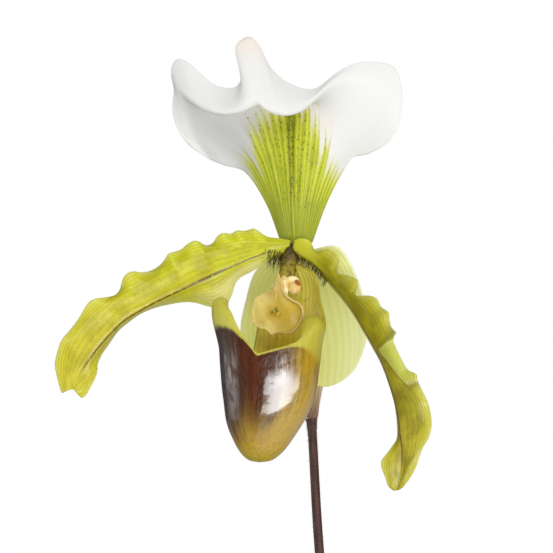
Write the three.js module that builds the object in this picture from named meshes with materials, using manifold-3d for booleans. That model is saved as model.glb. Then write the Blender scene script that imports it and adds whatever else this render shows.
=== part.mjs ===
// A potted slipper orchid, Paphiopedilum leeanum, in bloom: a clay pot of bark with two fans of strap
// leaves and one flower on a thin dark stem. Millimetres, +Z up, origin under the middle of the pot's
// foot, and the flower looks towards -Y and a little towards -X.
import * as THREE from "three";
import { mergeVertices } from "three/addons/utils/BufferGeometryUtils.js";
import Module from "manifold-3d";

// Pot and bark.
const POT_HEIGHT = 104;
const POT_FOOT_RADIUS = 40;
const POT_SHOULDER_RADIUS = 50;
const POT_BAND_RADIUS = 57;
const POT_BAND_HEIGHT = 22;
const POT_WALL = 5.5;
const POT_FLOOR = 7;
const DRAIN_HOLES = 4;
const DRAIN_HOLE_RADIUS = 5;
const DRAIN_CIRCLE_RADIUS = 21;
const POT_SIDES = 40;
const BARK_LEVEL = 88;
const BARK_CHIPS = 52;
const CHIP_SIZE = [15, 9.5, 5.5];
const SEAT_GAP = 0.3;

// The two growths: where each crown stands, and how thick it is.
const CROWN_DEPTH = 26;
const CROWN_STAND = 3;
const LEAF_FOOT = BARK_LEVEL + CROWN_STAND + SEAT_GAP;
const MAIN_CROWN = { x: 3, y: 5, radius: 12.5 };
const YOUNG_CROWN = { x: -17, y: -27, radius: 8 };

// Leaves of each fan, from the innermost out: side (-1 left, 1 right), length, half width, lean at the
// foot and at the tip in degrees from upright, height of the folded sheath, the sheath's depth and half
// breadth at the foot, how far the blade twists, and how far its tip swings off to the side.
const MAIN_LEAVES = [
  { side: 1, length: 128, half: 10.5, lean: 4, tipLean: 62, sheath: 34, depth: 3.6, breadth: 3.4, turn: 6, sway: 9 },
  { side: -1, length: 150, half: 12, lean: 8, tipLean: 84, sheath: 30, depth: 3.6, breadth: 3.4, turn: -8, sway: -7 },
  { side: 1, length: 168, half: 13, lean: 17, tipLean: 108, sheath: 22, depth: 6.2, breadth: 5.2, turn: -10, sway: 16 },
  { side: -1, length: 172, half: 13.5, lean: 22, tipLean: 116, sheath: 20, depth: 6.2, breadth: 5.2, turn: 8, sway: 14 },
  { side: 1, length: 166, half: 13, lean: 38, tipLean: 122, sheath: 11, depth: 9, breadth: 7.2, turn: 9, sway: -6 },
  { side: -1, length: 158, half: 12.5, lean: 41, tipLean: 120, sheath: 10, depth: 9, breadth: 7.2, turn: -7, sway: 4 },
];
const YOUNG_LEAVES = [
  { side: -1, length: 76, half: 8, lean: 7, tipLean: 48, sheath: 18, depth: 2.4, breadth: 2.4, turn: 5, sway: -5 },
  { side: 1, length: 92, half: 9, lean: 15, tipLean: 82, sheath: 15, depth: 2.4, breadth: 2.4, turn: -6, sway: 6 },
  { side: -1, length: 98, half: 9.5, lean: 32, tipLean: 108, sheath: 10, depth: 4.6, breadth: 4, turn: 8, sway: -12 },
  { side: 1, length: 88, half: 9, lean: 40, tipLean: 104, sheath: 9, depth: 4.6, breadth: 4, turn: -8, sway: -9 },
];
const LEAF_THICKNESS = 0.9;
const LEAF_STATIONS = 14;
const LEAF_COLUMNS = 4;
const LEAF_KEEL = 0.34;

// The flower's centre, where its parts meet, and the way that it faces.
const FLOWER = new THREE.Vector3(-11.5, -21, 332);
const FLOWER_TURN = THREE.MathUtils.degToRad(25);
const TEPAL_THICKNESS = 0.8;
const POUCH_WALL = 0.9;

const wasm = await Module();
wasm.setup();

// Solids: a closed geometry becomes a solid for cutting and joining, and comes back as a geometry.
function solidOf(geometry) {
  const bare = geometry.index ? geometry.toNonIndexed() : geometry.clone();
  bare.deleteAttribute("normal");
  bare.deleteAttribute("uv");
  const merged = mergeVertices(bare, 1e-4);
  return new wasm.Manifold(
    new wasm.Mesh({
      numProp: 3,
      vertProperties: merged.attributes.position.array,
      triVerts: new Uint32Array(merged.index.array),
    }),
  );
}

function geometryOf(solid) {
  const mesh = solid.getMesh();
  return new THREE.BufferGeometry()
    .setAttribute("position", new THREE.BufferAttribute(mesh.vertProperties, 3))
    .setIndex(new THREE.BufferAttribute(mesh.triVerts, 1));
}

// What is left of a body when a tool is cut from it, without the scraps.
function cutBody(body, ...tools) {
  const left = tools.reduce((rest, tool) => rest.subtract(tool), body);
  return left.decompose().sort((a, b) => b.volume() - a.volume())[0];
}

function geometryFrom(points, triangles) {
  return new THREE.BufferGeometry().setFromPoints(points).setIndex(triangles);
}

const smooth = THREE.MathUtils.smoothstep;
const radians = THREE.MathUtils.degToRad;

// A smooth line through points, and a smooth surface through ribs of points that run from root to tip.
function lineThrough(points) {
  return new THREE.CatmullRomCurve3(
    points.map((p) => new THREE.Vector3(...p)),
    false,
    "centripetal",
  );
}

function surfaceThrough(ribs) {
  const lines = ribs.map(lineThrough);
  return (u, v) =>
    new THREE.CatmullRomCurve3(
      lines.map((line) => line.getPoint(v)),
      false,
      "centripetal",
    ).getPoint(u);
}

// A thin sheet of even thickness over a surface, both faces split alike.
function sheetGeometry(surface, across, along, thickness) {
  const middle = [];
  for (let i = 0; i <= across; i++)
    for (let j = 0; j <= along; j++) middle.push(surface(i / across, j / along));
  const at = (i, j) => middle[i * (along + 1) + j];
  const normalAt = (i, j) => {
    const side = at(Math.min(i + 1, across), j).clone().sub(at(Math.max(i - 1, 0), j));
    const ahead = at(i, Math.min(j + 1, along)).clone().sub(at(i, Math.max(j - 1, 0)));
    return side.cross(ahead).normalize();
  };
  const faces = [[], []];
  for (let i = 0; i <= across; i++)
    for (let j = 0; j <= along; j++) {
      const normal = normalAt(i, j);
      faces[0].push(at(i, j).clone().addScaledVector(normal, thickness / 2));
      faces[1].push(at(i, j).clone().addScaledVector(normal, -thickness / 2));
    }
  const count = faces[0].length;
  const triangles = [];
  const index = (i, j) => i * (along + 1) + j;
  for (let i = 0; i < across; i++)
    for (let j = 0; j < along; j++) {
      const [a, b, c, d] = [index(i, j), index(i + 1, j), index(i + 1, j + 1), index(i, j + 1)];
      triangles.push(a, b, c, a, c, d);
      triangles.push(count + a, count + c, count + b, count + a, count + d, count + c);
    }
  const rim = [];
  for (let i = 0; i < across; i++) rim.push(index(i, 0));
  for (let j = 0; j < along; j++) rim.push(index(across, j));
  for (let i = across; i > 0; i--) rim.push(index(i, along));
  for (let j = along; j > 0; j--) rim.push(index(0, j));
  rim.forEach((a, k) => {
    const b = rim[(k + 1) % rim.length];
    triangles.push(a, count + a, count + b, a, count + b, b);
  });
  return geometryFrom([...faces[0], ...faces[1]], triangles);
}

// A solid through rings of points, closed by a point at each end.
function ringsGeometry(rings, first, last) {
  const sides = rings[0].length;
  const points = [...rings.flat(), first, last];
  const firstAt = points.length - 2;
  const lastAt = points.length - 1;
  const triangles = [];
  for (let k = 0; k < sides; k++) {
    const next = (k + 1) % sides;
    for (let r = 0; r < rings.length - 1; r++) {
      const [a, b] = [r * sides + k, r * sides + next];
      triangles.push(a, b, b + sides, a, b + sides, a + sides);
    }
    const end = (rings.length - 1) * sides;
    triangles.push(firstAt, next, k, lastAt, end + k, end + next);
  }
  return geometryFrom(points, triangles);
}

// A round rod along a line, with a radius for each share of its length.
function rodGeometry(line, radiusAt, stations, sides) {
  const rings = [];
  const frames = line.computeFrenetFrames(stations, false);
  for (let r = 0; r <= stations; r++) {
    const centre = line.getPointAt(r / stations);
    const radius = radiusAt(r / stations);
    const ring = [];
    for (let k = 0; k < sides; k++) {
      const angle = (2 * Math.PI * k) / sides;
      ring.push(
        centre
          .clone()
          .addScaledVector(frames.normals[r], radius * Math.cos(angle))
          .addScaledVector(frames.binormals[r], radius * Math.sin(angle)),
      );
    }
    rings.push(ring);
  }
  return ringsGeometry(rings, line.getPointAt(0), line.getPointAt(1));
}

// A number read off a smooth curve through [place, value] pairs.
function valueAlong(pairs, at) {
  const last = pairs.length - 1;
  if (at <= pairs[0][0]) return pairs[0][1];
  if (at >= pairs[last][0]) return pairs[last][1];
  const k = pairs.findIndex(([place]) => place > at);
  const slope = (from, to) => (pairs[to][1] - pairs[from][1]) / (pairs[to][0] - pairs[from][0]);
  const slopeA = slope(Math.max(k - 2, 0), k);
  const slopeB = slope(k - 1, Math.min(k + 1, last));
  const [[fromA, a], [fromB, b]] = [pairs[k - 1], pairs[k]];
  const width = fromB - fromA;
  const t = (at - fromA) / width;
  return (
    a * (1 + 2 * t) * (1 - t) ** 2 +
    b * t * t * (3 - 2 * t) +
    slopeA * width * t * (1 - t) ** 2 -
    slopeB * width * t * t * (1 - t)
  );
}

const colours = {
  clay: { color: 0xb5694a, roughness: 0.85 },
  bark: { color: 0x5d4029, roughness: 0.95 },
  crown: { color: 0x6d7a3c, roughness: 0.7 },
  leaf: { color: 0x4d7a2e, roughness: 0.42 },
  stem: { color: 0x4b2f2e, roughness: 0.75 },
  ovary: { color: 0x93804f, roughness: 0.7 },
  dorsal_sepal: { color: 0xf3f4ec, roughness: 0.5 },
  lower_sepal: { color: 0xd3dd7a, roughness: 0.5 },
  petal: { color: 0xbcc332, roughness: 0.4 },
  pouch: { color: 0x8a5a26, roughness: 0.22 },
  column: { color: 0x9a8c2f, roughness: 0.55 },
  staminodium: { color: 0xdcc96f, roughness: 0.35 },
  anther: { color: 0xe6d78a, roughness: 0.5 },
};
const materials = Object.fromEntries(
  Object.entries(colours).map(([name, look]) => [
    name,
    new THREE.MeshStandardMaterial({ ...look, metalness: 0, name }),
  ]),
);

const orchid = new THREE.Group();
orchid.name = "potted_slipper_orchid";

function addPiece(group, name, geometry, material) {
  const mesh = new THREE.Mesh(geometry, materials[material]);
  mesh.name = name;
  group.add(mesh);
  return mesh;
}

// Pot: one clay body with a thick band at the top and drain holes round the middle of its floor.
function potGeometry() {
  const innerFoot = POT_FOOT_RADIUS - POT_WALL + 1;
  const innerTop = POT_SHOULDER_RADIUS - 1;
  const bandFoot = POT_HEIGHT - POT_BAND_HEIGHT;
  const profile = [
    [0, 0],
    [POT_FOOT_RADIUS - 1.5, 0],
    [POT_FOOT_RADIUS, 1.5],
    [POT_SHOULDER_RADIUS, bandFoot - 1],
    [POT_BAND_RADIUS - 2, bandFoot],
    [POT_BAND_RADIUS - 1, bandFoot + 1.5],
    [POT_BAND_RADIUS, POT_HEIGHT - 3],
    [POT_BAND_RADIUS - 1.5, POT_HEIGHT],
    [innerTop + 2, POT_HEIGHT],
    [innerTop, POT_HEIGHT - 3],
    [innerFoot, POT_FLOOR + 2],
    [innerFoot - 2, POT_FLOOR],
    [0, POT_FLOOR],
  ].map(([radius, height]) => new THREE.Vector2(radius, height));
  const body = new THREE.LatheGeometry(profile, POT_SIDES).rotateX(Math.PI / 2);
  let pot = solidOf(body);
  for (let k = 0; k < DRAIN_HOLES; k++) {
    const angle = (2 * Math.PI * (k + 0.5)) / DRAIN_HOLES;
    const hole = new THREE.CylinderGeometry(DRAIN_HOLE_RADIUS, DRAIN_HOLE_RADIUS, 4 * POT_FLOOR, 16)
      .rotateX(Math.PI / 2)
      .translate(DRAIN_CIRCLE_RADIUS * Math.cos(angle), DRAIN_CIRCLE_RADIUS * Math.sin(angle), 0);
    pot = pot.subtract(solidOf(hole));
  }
  return geometryOf(pot);
}

// The pot's inner wall, so that the bark stays just clear of it.
function potInnerRadius(height) {
  const share = (height - POT_FLOOR - 2) / (POT_HEIGHT - 3 - POT_FLOOR - 2);
  return THREE.MathUtils.lerp(POT_FOOT_RADIUS - POT_WALL + 1, POT_SHOULDER_RADIUS - 1, share);
}

// Even random numbers from a seed.
function randomFrom(seed) {
  let state = seed;
  return () => {
    state = (state * 1664525 + 1013904223) % 4294967296;
    return state / 4294967296;
  };
}

// Bark: one body that fills the pot, its top covered with chips that lie at all angles, with a plain
// hole for each crown.
function barkGeometry() {
  const random = randomFrom(2);
  const bottom = POT_FLOOR + SEAT_GAP;
  const side = SEAT_GAP + 0.4;
  const fill = new THREE.LatheGeometry(
    [
      [0, bottom],
      [POT_FOOT_RADIUS - POT_WALL - 1 - side, bottom],
      [potInnerRadius(POT_FLOOR + 2) - side, POT_FLOOR + 2.2],
      [potInnerRadius(BARK_LEVEL) - side, BARK_LEVEL - 3],
      [0, BARK_LEVEL],
    ].map(([radius, height]) => new THREE.Vector2(radius, height)),
    24,
  ).rotateX(Math.PI / 2);
  const chips = [solidOf(fill)];
  const reach = potInnerRadius(BARK_LEVEL) - side - 4;
  for (let k = 0; k < BARK_CHIPS; k++) {
    const chip = new THREE.BoxGeometry(...CHIP_SIZE.map((size) => size * (0.65 + 0.5 * random())));
    const corners = chip.getAttribute("position");
    const nudge = Array.from({ length: 8 }, () => [random() - 0.5, random() - 0.5, random() - 0.5]);
    for (let n = 0; n < corners.count; n++) {
      const corner =
        (corners.getX(n) > 0 ? 1 : 0) + (corners.getY(n) > 0 ? 2 : 0) + (corners.getZ(n) > 0 ? 4 : 0);
      const [dx, dy, dz] = nudge[corner];
      corners.setXYZ(n, corners.getX(n) + 3.5 * dx, corners.getY(n) + 3 * dy, corners.getZ(n) + 2 * dz);
    }
    const distance = reach * Math.sqrt((k + 0.5) / BARK_CHIPS);
    const angle = k * Math.PI * (3 - Math.sqrt(5));
    chip.rotateX(1.1 * (random() - 0.5));
    chip.rotateY(1.1 * (random() - 0.5));
    chip.rotateZ(2 * Math.PI * random());
    const [x, y] = [distance * Math.cos(angle), distance * Math.sin(angle)];
    const beside = Math.min(Math.hypot(x - MAIN_CROWN.x, y - MAIN_CROWN.y), Math.hypot(x - YOUNG_CROWN.x, y - YOUNG_CROWN.y));
    chip.translate(x, y, BARK_LEVEL - 3.5 + 2.5 * smooth(beside, 12, 26) + 2.5 * random());
    chips.push(solidOf(chip));
  }
  const well = new THREE.LatheGeometry(
    [
      [0, bottom],
      [POT_FOOT_RADIUS - POT_WALL - 1 - SEAT_GAP, bottom],
      [potInnerRadius(POT_FLOOR + 2) - SEAT_GAP, POT_FLOOR + 2],
      [potInnerRadius(POT_HEIGHT - 3) - SEAT_GAP, POT_HEIGHT - 3],
      [0, POT_HEIGHT - 3],
    ].map(([radius, height]) => new THREE.Vector2(radius, height)),
    POT_SIDES,
  ).rotateX(Math.PI / 2);
  const heap = chips.reduce((sum, chip) => sum.add(chip)).intersect(solidOf(well));
  const holes = [MAIN_CROWN, YOUNG_CROWN].map(({ x, y, radius }) => {
    const hole = radius + SEAT_GAP;
    const depth = CROWN_DEPTH + SEAT_GAP;
    const tall = depth + 30;
    return solidOf(
      new THREE.CylinderGeometry(hole, hole, tall, 24)
        .rotateX(Math.PI / 2)
        .translate(x, y, BARK_LEVEL - depth + tall / 2),
    );
  });
  return geometryOf(cutBody(heap, ...holes));
}

// Crown: the short woody stem that a fan grows from. It stands in its hole and carries the sheaths.
function crownGeometry({ x, y, radius }) {
  const profile = [
    [0, BARK_LEVEL - CROWN_DEPTH],
    [radius * 0.6, BARK_LEVEL - CROWN_DEPTH],
    [radius * 0.85, BARK_LEVEL - CROWN_DEPTH * 0.7],
    [radius, BARK_LEVEL - 4],
    [radius, BARK_LEVEL + CROWN_STAND - 1],
    [radius * 0.9, BARK_LEVEL + CROWN_STAND],
    [0, BARK_LEVEL + CROWN_STAND],
  ].map(([r, height]) => new THREE.Vector2(r, height));
  return new THREE.LatheGeometry(profile, 18).rotateX(Math.PI / 2).translate(x, y, 0);
}

// One strap leaf. It starts as a folded sheath round the growth's axis, opens into a keeled blade, and
// arches over to its side.
function leafSurface(leaf) {
  const steps = 60;
  const keel = [new THREE.Vector2(leaf.depth, 0)];
  const leans = [];
  for (let k = 0; k <= steps; k++) {
    const share = k / steps;
    leans.push(radians(THREE.MathUtils.lerp(leaf.lean, leaf.tipLean, share ** 1.35)));
    const last = keel[keel.length - 1];
    const step = leaf.length / steps;
    keel.push(new THREE.Vector2(last.x + step * Math.sin(leans[k]), last.y + step * Math.cos(leans[k])));
  }
  return (u, v) => {
    const at = Math.min(v * steps, steps - 1e-6);
    const k = Math.floor(at);
    const point = keel[k].clone().lerp(keel[k + 1], at - k);
    const lean = THREE.MathUtils.lerp(leans[k], leans[k + 1], at - k);
    const side = 2 * u - 1;
    const open = smooth(v * leaf.length, leaf.sheath * 0.7, leaf.sheath * 2.4);
    const wrap = radians(80) * side;
    const folded = [leaf.breadth * Math.sin(wrap), leaf.depth * (1 - Math.cos(wrap))];
    const outline = Math.min(1, 0.62 + 1.1 * v) * Math.sqrt(Math.max(0, 1 - smooth(v, 0.72, 1.02) ** 2));
    const halfWidth = leaf.half * Math.max(outline, 0.1);
    const keelRise = LEAF_KEEL * (1 - 0.55 * v);
    const blade = [halfWidth * side, keelRise * halfWidth * Math.abs(side) ** 1.25];
    const breadth = THREE.MathUtils.lerp(folded[0], blade[0], open);
    const rise = THREE.MathUtils.lerp(folded[1], blade[1], open);
    const twist = radians(leaf.turn) * open * v * 2;
    const turned = breadth * Math.cos(twist) - rise * Math.sin(twist);
    const lifted = breadth * Math.sin(twist) + rise * Math.cos(twist);
    const out = point.x - lifted * Math.cos(lean);
    const up = point.y + lifted * Math.sin(lean);
    return new THREE.Vector3(leaf.side * out, leaf.side * turned + leaf.sway * v * v, up);
  };
}

function addFan(name, crown, leaves) {
  const fan = new THREE.Group();
  fan.position.set(crown.x, crown.y, LEAF_FOOT);
  leaves.forEach((leaf, k) => {
    const sheet = sheetGeometry(leafSurface(leaf), LEAF_COLUMNS, LEAF_STATIONS, LEAF_THICKNESS);
    addPiece(fan, `${name}_leaf_${k + 1}`, sheet, "leaf");
  });
  orchid.add(fan);
}

// Everything of the flower is set out from its centre: x to the right, y away, z up.
const flower = new THREE.Group();
flower.position.copy(FLOWER);

// Where the stem ends under the flower, and the line of the ovary above it.
const STEM_TOP = [4.6, 19, -38.6];
const OVARY_LINE = [
  STEM_TOP,
  [6.1, 19, -31],
  [6.4, 15.5, -20],
  [4.4, 9.5, -9.5],
  [1.6, 4.2, -2.8],
  [0.4, 1.6, -0.9],
];

// Ovary and pedicel: a ribbed rod that swells a little and ends in the knob that carries the flower.
function ovaryGeometry(extra = 0) {
  const line = lineThrough(OVARY_LINE);
  const radius = (at) =>
    valueAlong(
      [
        [0, 1.15],
        [0.25, 1.45],
        [0.6, 1.75],
        [0.86, 1.7],
        [1, 2.4],
      ],
      at,
    ) + extra;
  const rod = solidOf(rodGeometry(line, radius, 12, 10));
  const knob = solidOf(new THREE.IcosahedronGeometry(2.8 + extra, 1).translate(...OVARY_LINE.at(-1)));
  return rod.add(knob);
}

// Stem: a thin round rod from the crown to the flower, a little thicker at the joint under the bract.
function stemGeometry() {
  const foot = [MAIN_CROWN.x - FLOWER.x, MAIN_CROWN.y - FLOWER.y, LEAF_FOOT - FLOWER.z];
  const top = [STEM_TOP[0], STEM_TOP[1], STEM_TOP[2] - SEAT_GAP];
  const line = lineThrough([
    foot,
    [foot[0] - 0.3, foot[1] - 0.1, foot[2] + 40],
    [foot[0] - 2.6, foot[1] - 1.4, foot[2] + 110],
    [top[0] + 1.25, top[1] + 0.4, top[2] - 28],
    [top[0] + 0.25, top[1] + 0.1, top[2] - 5],
    top,
  ]);
  const radius = (at) =>
    valueAlong(
      [
        [0, 1.45],
        [0.1, 1.35],
        [0.9, 1.15],
        [0.97, 1.25],
        [0.985, 1.55],
        [1, 1.5],
      ],
      at,
    );
  return rodGeometry(line, radius, 20, 8);
}

// Bract: a small boat-shaped leaf that clasps the ovary from behind.
function bractSurface() {
  const line = lineThrough(OVARY_LINE);
  return (u, v) => {
    const centre = line.getPointAt(0.012 + 0.42 * v);
    const open = radians(80 - 56 * v ** 1.6) * (2 * u - 1) + 0.35;
    const radius = 1.95 + 0.35 * Math.sin(Math.PI * v) + 0.5 * v;
    return new THREE.Vector3(
      centre.x + 0.3 * v + radius * Math.sin(open),
      centre.y + radius * Math.cos(open),
      centre.z + 0.8 * v,
    );
  };
}

// Dorsal sepal: veins fan out from its foot. It rises, arches forward over the front, and its edge
// rolls up again, drawn out into a narrow tip left of the middle.
const DORSAL_VEINS = [
  [[-1.8, 3.2, 1.2], [-5.6, 5.4, 8.3], [-9.8, 7, 15.8], [-14.9, 5.6, 17.6], [-20.1, 3.6, 19.1], [-23.7, 2.4, 22.1]],
  [[-1.6, 2.4, 1.2], [-6.6, 3.4, 8.9], [-11.2, 4.8, 17.5], [-16.1, 4.4, 21.7], [-21.2, 1.6, 25.7], [-25.9, 1.4, 30.1]],
  [[-1.3, 1.6, 1.1], [-6.3, 1.5, 9.2], [-10.6, 1.6, 18.4], [-15, 1.8, 27.1], [-20.9, -2.6, 30.3], [-26.2, -1.2, 39.7]],
  [[-1.3, 1.1, 1], [-4.6, 0.6, 9.4], [-8, 0.6, 19.2], [-12.6, 1, 29.4], [-16.1, -5, 28.4], [-19.3, -4.2, 35.7]],
  [[-0.8, 0.9, 0.9], [-2.4, 0.5, 9.6], [-4.4, 0.4, 19.4], [-8, 1.2, 30.7], [-11.3, -7, 29], [-12.5, -6.2, 34.3]],
  [[-0.5, 0.9, 0.9], [-1.2, 0.7, 9.6], [-2.6, 0.8, 19.4], [-5.6, 1.4, 31.1], [-9.1, -7.6, 31.3], [-12.7, -7.4, 42]],
  [[-0.2, 1, 0.9], [-0.4, 1, 9.6], [-0.8, 1.2, 19.4], [-3, 1.4, 31.5], [-6.8, -7, 33.1], [-9.8, -4.8, 45.1]],
  [[0.1, 0.9, 0.9], [0.9, 0.7, 9.6], [1.2, 0.9, 19.4], [-0.5, 1.4, 31.5], [-4.2, -6.9, 30.3], [-7, -5.4, 41.1]],
  [[0.4, 0.9, 0.9], [2.2, 0.5, 9.5], [3.2, 0.6, 19.4], [2, 1.2, 31.3], [-1.2, -6.8, 28.3], [-3.2, -5.4, 36.1]],
  [[1.1, 1.1, 1], [4.2, 0.8, 9.4], [6.8, 0.8, 19.2], [8, 1.2, 30.3], [4.6, -4.8, 30.4], [3, -3.8, 33.6]],
  [[2, 1.4, 1.1], [6, 1.6, 8.9], [10, 1.6, 18.4], [13, 1.4, 27.5], [12, -1.6, 33.3], [10, -1.4, 37.3]],
  [[2.8, 2, 1.2], [6.4, 2.8, 7.8], [11.2, 3, 16.9], [17.3, 2.4, 24.9], [20.4, 0.6, 33], [19, 0.8, 40]],
  [[3.4, 2.8, 1.2], [6.6, 4.2, 7.3], [12.1, 4.8, 16.9], [17.9, 4.8, 19.9], [22.7, 3.6, 24.3], [23.7, 2.6, 35.7]],
];

// Lower sepal: two sepals grown together, one broad boat-shaped piece behind the pouch.
const LOWER_SEPAL_VEINS = [
  [[-2.6, 3.2, -2.4], [-8.6, 7.4, -6], [-11.5, 10.4, -13.1], [-12, 11.6, -19.6], [-10.1, 12, -25.6]],
  [[-1.6, 3.4, -2.9], [-5.2, 7, -8], [-7.2, 10.4, -15.7], [-7, 12.4, -23.2], [-4.4, 12.9, -29.9]],
  [[0.2, 3.2, -3.4], [0.6, 6, -9.2], [1.5, 9.2, -17.1], [2.5, 12, -25.2], [3.1, 13, -31.3]],
  [[1.9, 2.6, -3.2], [5.4, 3.6, -8], [7.5, 6.6, -15.7], [8.7, 9.8, -24.6], [8.2, 12, -31.9]],
  [[3, 1.8, -2.6], [8.8, 0.6, -4.8], [12.4, 2.4, -11.6], [13.9, 5.8, -20.5], [12.4, 9.4, -29]],
  [[3.4, 1.2, -1.6], [9.8, -0.8, -0.8], [13.8, 0.2, -7], [16, 2, -14.4], [16.1, 5.2, -22.9]],
];

// Petals: each is a strap through its lower edge, its midvein and its upper edge, from root to tip.
const LEFT_PETAL = [
  [[-3, 0.8, -3.4], [-9.4, 0.6, -6.6], [-15.8, 0, -12.8], [-23.6, -2.2, -12.9], [-30.8, -5.2, -15.6],
    [-37.5, -7.6, -20.5], [-42.2, -9.6, -27.2], [-45.3, -11.6, -33.9]],
  [[-2.6, -0.2, -1.6], [-9, -1.2, -3.8], [-16, -2.8, -6], [-23.9, -5, -9.4], [-31.8, -7.8, -13.8],
    [-38.9, -9.8, -19.5], [-44.1, -11.4, -25.8], [-47.6, -12.6, -32]],
  [[-2, 1.2, 0.8], [-8.5, 1, 2.4], [-15.5, -0.4, 0.9], [-23.9, -2.8, -1.9], [-32.4, -5.6, -6.6],
    [-42.4, -8.4, -12.2], [-50.4, -10.8, -21.2], [-50.2, -12.2, -33.4]],
];
const RIGHT_PETAL = [
  [[2.2, -0.2, -3.4], [6.4, -1.8, -6.8], [10.7, -6, -11.8], [14.6, -10.6, -17.7], [18.3, -13.6, -24.5],
    [21.1, -15.4, -32.6], [21.9, -17.4, -40.3], [18.8, -18.6, -47.2], [20.7, -19.4, -52.8]],
  [[2.4, -0.8, -1.8], [7.1, -4.4, -5.6], [11.6, -8.8, -11.2], [15.6, -13, -17.8], [19, -16.4, -25.1],
    [22.3, -18.6, -32.7], [24, -19.8, -40.3], [22.8, -20.2, -47.1], [22.3, -20.2, -53.1]],
  [[2.6, 0.2, 0.2], [8.9, -5.4, -3.2], [14.4, -11, -9], [19.6, -16.8, -15.3], [22.6, -20.8, -23.2],
    [27, -22.4, -30.8], [29.6, -22, -38], [28.4, -21.4, -45.7], [23.8, -20.6, -52.5]],
];
const PETAL_CAMBER = 1.1;
const PETAL_STATIONS = 32;
const PETAL_COLUMNS = 6;

// Waves of the petals' upper edges: the place of each crest along the edge and its height.
const LEFT_CRESTS = [[0.155, 1], [0.255, 0.9], [0.385, 1.1], [0.49, 1], [0.615, 1], [0.735, 0.9], [0.84, 0.4]];
const RIGHT_CRESTS = [[0.14, 1.3], [0.245, 1.3], [0.355, 1], [0.465, 0.9], [0.59, 0.9], [0.7, 0.6], [0.8, 0.5]];

function petalWave(crests, v) {
  const height = crests.reduce((sum, [place, size]) => sum + size * Math.exp(-(((v - place) / 0.032) ** 2)), 0);
  return height - 0.42 * smooth(v, 0.06, 0.16) * (1 - smooth(v, 0.8, 0.94));
}

function petalSurface([lower, middle, upper], crests) {
  const lines = [lower, middle, upper].map(lineThrough);
  return (u, v) => {
    const [a, b, c] = lines.map((line) => line.getPoint(v));
    const bow = 2 * u - 1;
    const point = bow < 0 ? b.clone().lerp(a, -bow) : b.clone().lerp(c, bow);
    const across = c.clone().sub(a).normalize();
    const forward = across.clone().cross(lines[1].getTangent(v)).normalize();
    if (forward.y > 0) forward.negate();
    const wave = petalWave(crests, v) * smooth(u, 0.5, 1) ** 1.4;
    return point
      .addScaledVector(forward, PETAL_CAMBER * Math.sin(Math.PI * Math.abs(bow)) * 0.5 + 1.5 * wave)
      .addScaledVector(across, 1.1 * wave);
  };
}

const petalGeometry = (lines, crests) =>
  sheetGeometry(petalSurface(lines, crests), PETAL_COLUMNS, PETAL_STATIONS, TEPAL_THICKNESS);

// The pouch is set out in the flower's own directions: right of it, out in front of it and up.
function facing(right, front, up) {
  const [sin, cos] = [Math.sin(FLOWER_TURN), Math.cos(FLOWER_TURN)];
  return new THREE.Vector3(right * cos - front * sin, -right * sin - front * cos, up);
}

// The rim's height round the pouch (0 in front, 180 at the back, where it runs up into the claw), the
// pouch's side line from the toe up, and how far in front its axis stands.
const RIM_HEIGHTS = [
  [-180, -3.8], [-164, -4.6], [-146, -8], [-128, -13.4], [-108, -14.6], [-88, -13], [-68, -12.4], [-48, -13.2],
  [-30, -15.8], [-16, -18.8], [-5, -21.8], [7, -23.8], [22, -23.5], [43, -22.6], [56, -21.4], [68, -18.8],
  [82, -16.4], [96, -16], [110, -16.4], [128, -13.4], [146, -8], [164, -4.6], [180, -3.8],
];
const POUCH_SIDE = [
  [0, -47.6], [2.6, -47.1], [4.7, -45.4], [6.7, -42.5], [8.8, -38.4], [10.3, -33], [11, -27.7], [11.4, -22.6],
  [11.5, -17], [11.5, -11], [11, -3],
];
const POUCH_FRONTS = [[-47.6, 16.6], [-43.3, 15.4], [-39, 14.4], [-33, 13.1], [-25, 12.5], [-14, 12], [-3, 11.6]];
const POUCH_DEPTH_SHARE = 0.88;

function pouchSurface(shrink = 0) {
  const side = new THREE.SplineCurve(POUCH_SIDE.map((p) => new THREE.Vector2(...p)));
  const shareAt = (height) => {
    let [low, high] = [0, 1];
    for (let k = 0; k < 30; k++) {
      const middle = (low + high) / 2;
      if (side.getPoint(middle).y < height) low = middle;
      else high = middle;
    }
    return low;
  };
  return (u, v) => {
    const degrees = 360 * u - 180;
    const angle = radians(degrees);
    const reach = shareAt(valueAlong(RIM_HEIGHTS, degrees));
    const at = side.getPoint(reach * v);
    const slope = side.getTangent(Math.max(reach * v, 1e-3));
    const height = at.y + shrink * slope.x;
    const claw = smooth(Math.abs(degrees), 118, 160);
    const ear = Math.exp(-(((degrees - 86) / 26) ** 2)) + Math.exp(-(((degrees + 66) / 34) ** 2));
    const flare = 0.06 * ear * smooth(v, 0.5, 0.84) - 0.17 * ear * smooth(v, 0.86, 1) ** 2;
    const lip = 0.07 * (1 - claw) * (1 - Math.min(ear, 1)) * smooth(v, 0.9, 1) ** 2;
    const narrow = 1 - claw * (0.66 * smooth(height, -17, -4));
    const radius = Math.max(0, at.x - shrink * slope.y) * (1 + flare - lip);
    const right = 0.3 + radius * Math.sin(angle) * narrow;
    const back = POUCH_DEPTH_SHARE * radius * Math.cos(angle);
    const front = valueAlong(POUCH_FRONTS, height) + back - claw * smooth(height, -20, -9);
    return facing(right, front, height);
  };
}

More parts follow.
